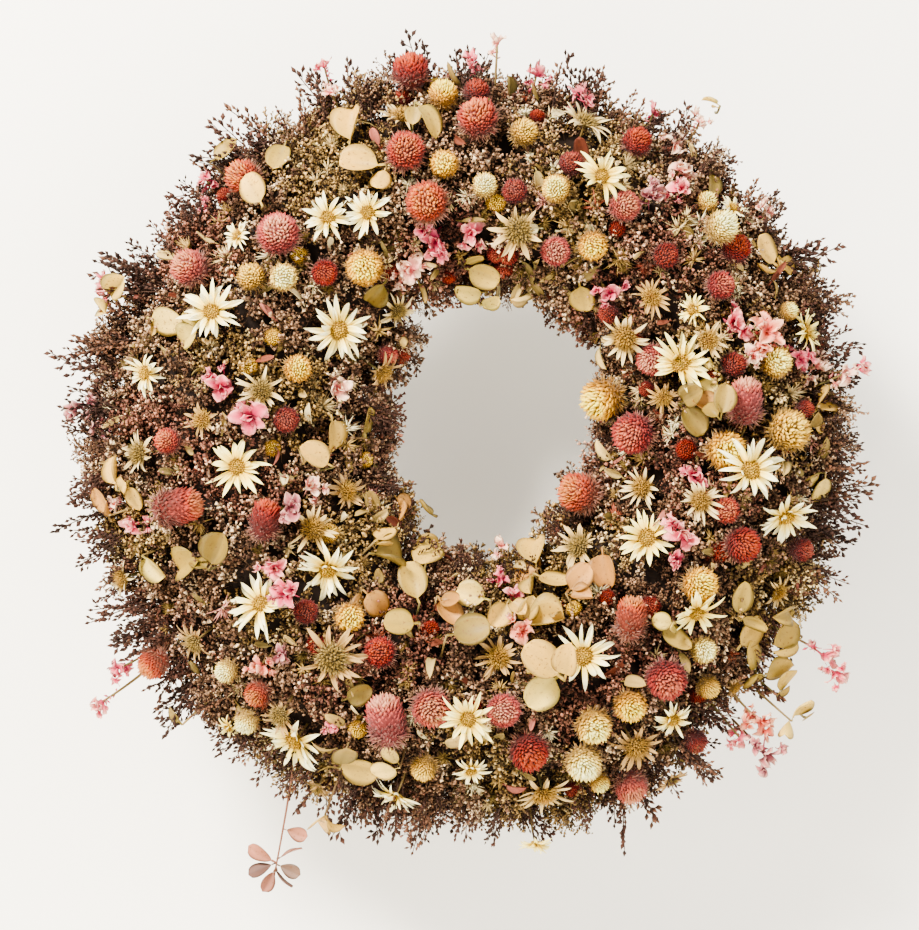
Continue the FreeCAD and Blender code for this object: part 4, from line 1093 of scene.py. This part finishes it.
def add_buried_globes(heap, cushion, heads, rng):
    """Small dark globe heads that the buds half cover."""
    places, normals = buried_spots(cushion, heads, BURIED_GLOBES, 4.0 * MM, rng)
    for place, normal in zip(places, normals):
        radius = rng.uniform(5.5, 8.0) * MM
        head = new_head(place, normal, radius, radius)
        if rng.random() < 0.65:
            add_globe(heap, head, pick(DARK_RED_RAMPS, rng), RED_FUZZ, rng)
        else:
            add_globe(heap, head, CREAM_RAMPS[3], CREAM_FUZZ, rng)


def add_back_stalks(heap, cushion, rng):
    """The bunch's own stems, fanned out along its back from the frame to both rims."""
    for n in range(BACK_STALKS):
        clock = cushion.any_clock(rng)
        rim = cushion.outer if n % 4 else cushion.inner
        a, b = np.radians((clock, clock + rng.normal(0, 5)))
        start = round_wreath(a, 0.62 * cushion.middle + 0.38 * rim, -cushion.back + 0.4 * MM)
        end_y = -cushion.back - rng.uniform(0, 5) * MM
        end = round_wreath(b, 0.05 * cushion.middle + 0.95 * rim, end_y)
        middle = (start + end) / 2 + rng.normal(0, 2.5, 3) * MM * (1, 0.3, 1)
        thick = rng.uniform(0.35, 0.7) * MM
        path = curve_through(start, middle, end, 5)
        stalk = tube(path, np.linspace(thick, 0.5 * thick, len(path)), 4)
        heap.add(stalk, pick(STALK_TONES, rng) * rng.uniform(0.5, 0.9))


def add_back_fluff(heap, cushion, rng):
    """Sparser sprays that lie along the back, outwards from the frame."""
    count = BACK_SPRAYS
    reach = np.sqrt(rng.uniform(cushion.inner**2, cushion.outer**2, count))
    out = round_wreath(np.radians(cushion.any_clock(rng, count)))
    places = out * reach[:, None] - np.array((0, cushion.back + 2 * MM, 0))
    side = np.sign(reach - cushion.middle)[:, None]
    ways = unit(out * side + np.array((0, 0.30, 0)) + rng.normal(0, 0.3, (count, 3)))
    sizes = rng.uniform(0.95, 1.4, count)
    add_sprays(heap, FLUFF, places, ways, sizes, patchy_tones(places, rng) * 0.85, rng)


def add_wisps(heap, cushion, rods, rng):
    """Loose sprigs past the rims, a few beside each of the CAD's."""
    places, ways, sizes = [], [], []
    for rod in rods:
        near, far = sorted(rod_ends(rod), key=lambda p: abs(np.hypot(p[0], p[2]) - cushion.middle))
        way = unit(far - near)
        reach = np.linalg.norm(far - near) + 14 * MM
        lush = rng.random() ** 0.7
        for _ in range(3 + int(8 * lush)):
            root = near - way * 12 * MM + rng.normal(0, 3.0, 3) * MM
            places.append(root - (0, rng.uniform(0, 14) * MM, 0))
            ways.append(way + np.minimum(rng.normal(0, 0.24, 3), (1, 0.2, 1)))
            sizes.append(reach / (40 * MM) * rng.uniform(0.5, 0.75 + 0.4 * lush))
    tones = pick_tones(WISP_TONES, len(places), rng)
    places, ways, sizes = np.array(places), unit(np.array(ways)), np.array(sizes)
    add_sprays(heap, WISPS, places, ways, sizes, tones, rng, DARK_TWIG_TONE)


def build_bunch(number, heads, material):
    """One bunch: its core, painted dark as shadow, the sprays over its front and back, and the wisps round
    its rims.
    """
    node = f"sea_lavender_bunch_{number:02d}"
    rng = rng_for(node)
    parts = sorted(solids(node), key=lambda p: -np.prod(np.ptp(p, axis=0)))
    cushion = Cushion(parts[0])
    heap = Heap()
    add_shadow_core(heap, cushion)
    add_front_fluff(heap, cushion, heads, rng)
    add_rim_lumps(heap, cushion, heads, rng)
    add_tufts(heap, cushion, heads, rng)
    add_leaf_bits(heap, cushion, heads, rng)
    add_buried_globes(heap, cushion, heads, rng)
    add_back_stalks(heap, cushion, rng)
    add_back_fluff(heap, cushion, rng)
    add_wisps(heap, cushion, parts[1:], rng)
    heap.build(f"sea_lavender_{number:02d}", material, node)


# ---- Bound stems, flower stems and the hanging sprig ----
def build_stem_bundle(number, material):
    """A bunch's stems in the frame's trough, which turn forward into the bunch at one end."""
    node = f"stem_bundle_{number:02d}"
    rng = rng_for(node)
    heap = Heap()
    t = np.linspace(0, 1, 14)
    turn_in, turned_by = 0.72, 9 * MM
    for points in solids(node):
        reach = np.hypot(points[:, 0], points[:, 2])
        middle, depth = (reach.min() + reach.max()) / 2, points[:, 1].mean()
        low, high = clock_span(points)
        for _ in range(2):
            a = np.radians(np.linspace(low - rng.uniform(0, 9), high + rng.uniform(-4, 7), len(t)))
            wander = rng.normal(0, 0.9, 2) * MM
            r = middle + wander[0] + rng.normal(0, 1.6) * MM * np.sin(t * math.pi * rng.uniform(0.8, 2))
            y = depth + wander[1] * 0.8 - turned_by * np.clip((t - turn_in) / (1 - turn_in), 0, 1) ** 2
            thick = rng.uniform(0.75, 1.45) * MM
            stem = tube(round_wreath(a, r, y), thick * np.linspace(1.15, 0.75, len(t)))
            heap.add(stem, pick(STALK_TONES, rng) * rng.uniform(0.75, 1.15))
    heap.build(f"bound_stems_{number:02d}", material, node)


def build_flower_stems(stems, material):
    for zone in ZONES:
        rng = rng_for("stems" + zone)
        heap = Heap()
        for front, back in stems[zone]:
            tone = pick(STALK_TONES, rng) * rng.uniform(0.8, 1.2)
            add_stem(heap, front, back, 0.8 * MM, tone, rng)
        heap.build(f"stems_of_flowers_{zone}", material, f"flower_stems_{zone}")


SPRIG_TONES = colours("795e4d ac735c 976451 66473c")
SPRIG_STEM_TONE = linear("7a5240")


def build_sprig(stem_material, leaf_material):
    """The eucalyptus sprig below the rim: a thin stem out of the bunch, and paddle-shaped leaves."""
    rng = rng_for("sprig")
    top, foot = sorted(rod_ends(solids("eucalyptus_sprig_stem")[0]), key=lambda p: -p[2])
    heap = Heap()
    path = curve_through(top, (top + foot) / 2 + (1.5 * MM, 0, 0), foot, 14)
    heap.add(tube(path, np.linspace(0.9, 0.5, len(path)) * MM, 8), SPRIG_STEM_TONE)
    heap.build("hanging_sprig_stem", stem_material, "eucalyptus_sprig_stem")
    heap = Heap()
    down = unit(foot - top)
    for points in solids("eucalyptus_sprig_leaves"):
        middle, axes = principal(points)
        reach = (points - middle) @ axes[0]
        ends = [points[reach.argmin()], points[reach.argmax()]]
        ends.sort(key=lambda e: np.linalg.norm(np.cross(e - top, down)))
        node_on_stem = top + down * min(max((ends[0] - top) @ down, 0), np.linalg.norm(foot - top))
        way = ends[1] - node_on_stem
        face = unit(flat_face(axes) + rng.normal(0, 0.45, 3))
        face = square_to(face, unit(way))
        leaf = {"foot": node_on_stem, "way": unit(way), "axis": face, "length": np.linalg.norm(way)}
        add_leaf(heap, leaf, pick(SPRIG_TONES, rng), rng, 0.62, 0.8, 1.7)
    heap.build("hanging_sprig_leaves", leaf_material, "eucalyptus_sprig_leaves")


# ---- Everything together ----
def build_heads(heads, bract, petal, leaf):
    """Every flower and leaf group, with the tool and material of its kind."""
    tools = dict(zip(FLOWER_KINDS, (
        (add_red_globe, bract), (add_cream_globe, bract), (add_white_daisy, petal), (add_tan_daisy, petal),
        (add_blossom, petal), (add_leaf_pair, leaf),
    )))
    for node, found in heads.items():
        rng = rng_for(node)
        heap = Heap()
        add_head, material = tools[node.rsplit("_", 2)[0]]
        for head in found:
            add_head(heap, head, rng)
        heap.build(node + "_flowers", material, node)


def paint_wires():
    enamel = wire_material("green_enamel", "2c3e2c", "5c4a36", 0.0, 0.42, 0.56)
    zinc = wire_material("dull_zinc", "96948e", "70685e", 0.9, 0.42, 0.52)
    bound = wire_material("binding_wire_enamel", "263626", "54422e", 0.0, 0.38, 0.6)
    paints = {"hanger_bar": enamel, "hanger_loop": zinc, "binding_wire": bound}
    for node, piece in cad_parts.items():
        paint = enamel if node.startswith("frame_") else paints.get(node)
        for holder in piece.material_slots if paint else ():
            holder.material = paint


def build_stage():
    """A pale wall that turns into a floor. Its back is clear, so that it never hides the wreath."""
    wall_y, wall_top, floor_z, floor_front, bend, half_width = 0.11, 2.4, -0.62, -3.2, 0.35, 3.0
    profile = [(wall_y, wall_top), (wall_y, floor_z + bend)]
    steps = 8
    for n in range(1, steps + 1):
        a = math.radians(90 * n / steps)
        profile.append((wall_y - bend * (1 - math.cos(a)), floor_z + bend * (1 - math.sin(a))))
    profile.append((floor_front, floor_z))
    points = [(x, y, z) for y, z in profile for x in (-half_width, half_width)]
    faces = [(2 * n, 2 * n + 2, 2 * n + 3, 2 * n + 1) for n in range(len(profile) - 1)]
    mesh = bpy.data.meshes.new("studio")
    mesh.from_pydata(points, [], faces)
    mesh.polygons.foreach_set("use_smooth", [True] * len(faces))
    material = new_material("studio_paint")
    nodes = material.node_tree.nodes
    feed(nodes["Principled BSDF"], {"Base Color": (0.98, 0.95, 0.88, 1), "Roughness": 0.9})
    sides = {
        "Fac": add_node(material, "NewGeometry", {}, "Backfacing"),
        1: nodes["Principled BSDF"].outputs["BSDF"],
        2: add_node(material, "BsdfTransparent", {}),
    }
    feed(nodes["Material Output"], {"Surface": add_node(material, "MixShader", sides)})
    mesh.materials.append(material)
    new_object("studio", mesh)


def add_light(name, place, size, power, colour):
    """A square light that faces the wreath's centre."""
    data = bpy.data.lights.new(name, "AREA")
    data.size, data.energy, data.color = size, power, colour
    light = new_object(name, data)
    light.location = place
    light.rotation_euler = (-Vector(place)).to_track_quat("-Z", "Y").to_euler()


def build_lights():
    add_light("key", (-1.0, -1.5, 1.3), 0.6, 148, (1.0, 0.955, 0.875))
    add_light("fill", (1.6, -1.6, 0.2), 1.6, 24, (0.95, 0.97, 1.0))
    add_light("back", (0.9, 1.5, 0.9), 1.2, 22, (1.0, 0.98, 0.95))
    world = bpy.data.worlds.new("studio_air")
    world.use_nodes = True
    air = world.node_tree.nodes["Background"]
    feed(air, {"Color": (1.0, 0.99, 0.97, 1), "Strength": 0.96})
    bpy.context.scene.world = world
    bpy.context.scene.view_settings.look = "AgX - Medium High Contrast"


def build_camera():
    """Square on to the door, as far away as a person would stand, aimed just off the wreath's centre."""
    frame_height, distance, flowers_y = 0.558, 1.45, -0.055
    data = bpy.data.cameras.new("camera")
    data.sensor_width = 36.0
    data.lens = data.sensor_width * distance / frame_height
    camera = new_object("camera", data)
    camera.location = (-0.011, flowers_y - distance, -0.015)
    camera.rotation_euler = (math.pi / 2, 0, 0)
    bpy.context.scene.camera = camera


bract = tinted_material("papery_bracts", 0.62, 420.0, 0.14, 0.35, 2600.0, sheen=0.15)
petal = tinted_material("dry_petals", 0.60, 300.0, 0.07, 0.25, 1800.0, sheen=0.1)
leaf = tinted_material("dried_leaves", 0.50, 140.0, 0.12, 0.30, 1500.0, specks=0.75)
plant = tinted_material("dry_buds_and_twigs", 0.78, 500.0, 0.16, 0.3, 2400.0)
straw = tinted_material("dry_stems", 0.72, 260.0, 0.2, 0.4, 1300.0)
heads, stems = read_flowers()
all_heads = [head for found in heads.values() for head in found]
build_heads(heads, bract, petal, leaf)
for number in range(1, BUNCHES + 1):
    build_bunch(number, all_heads, plant)
    build_stem_bundle(number, straw)
build_flower_stems(stems, straw)
build_sprig(straw, leaf)
paint_wires()
build_stage()
build_lights()
build_camera()
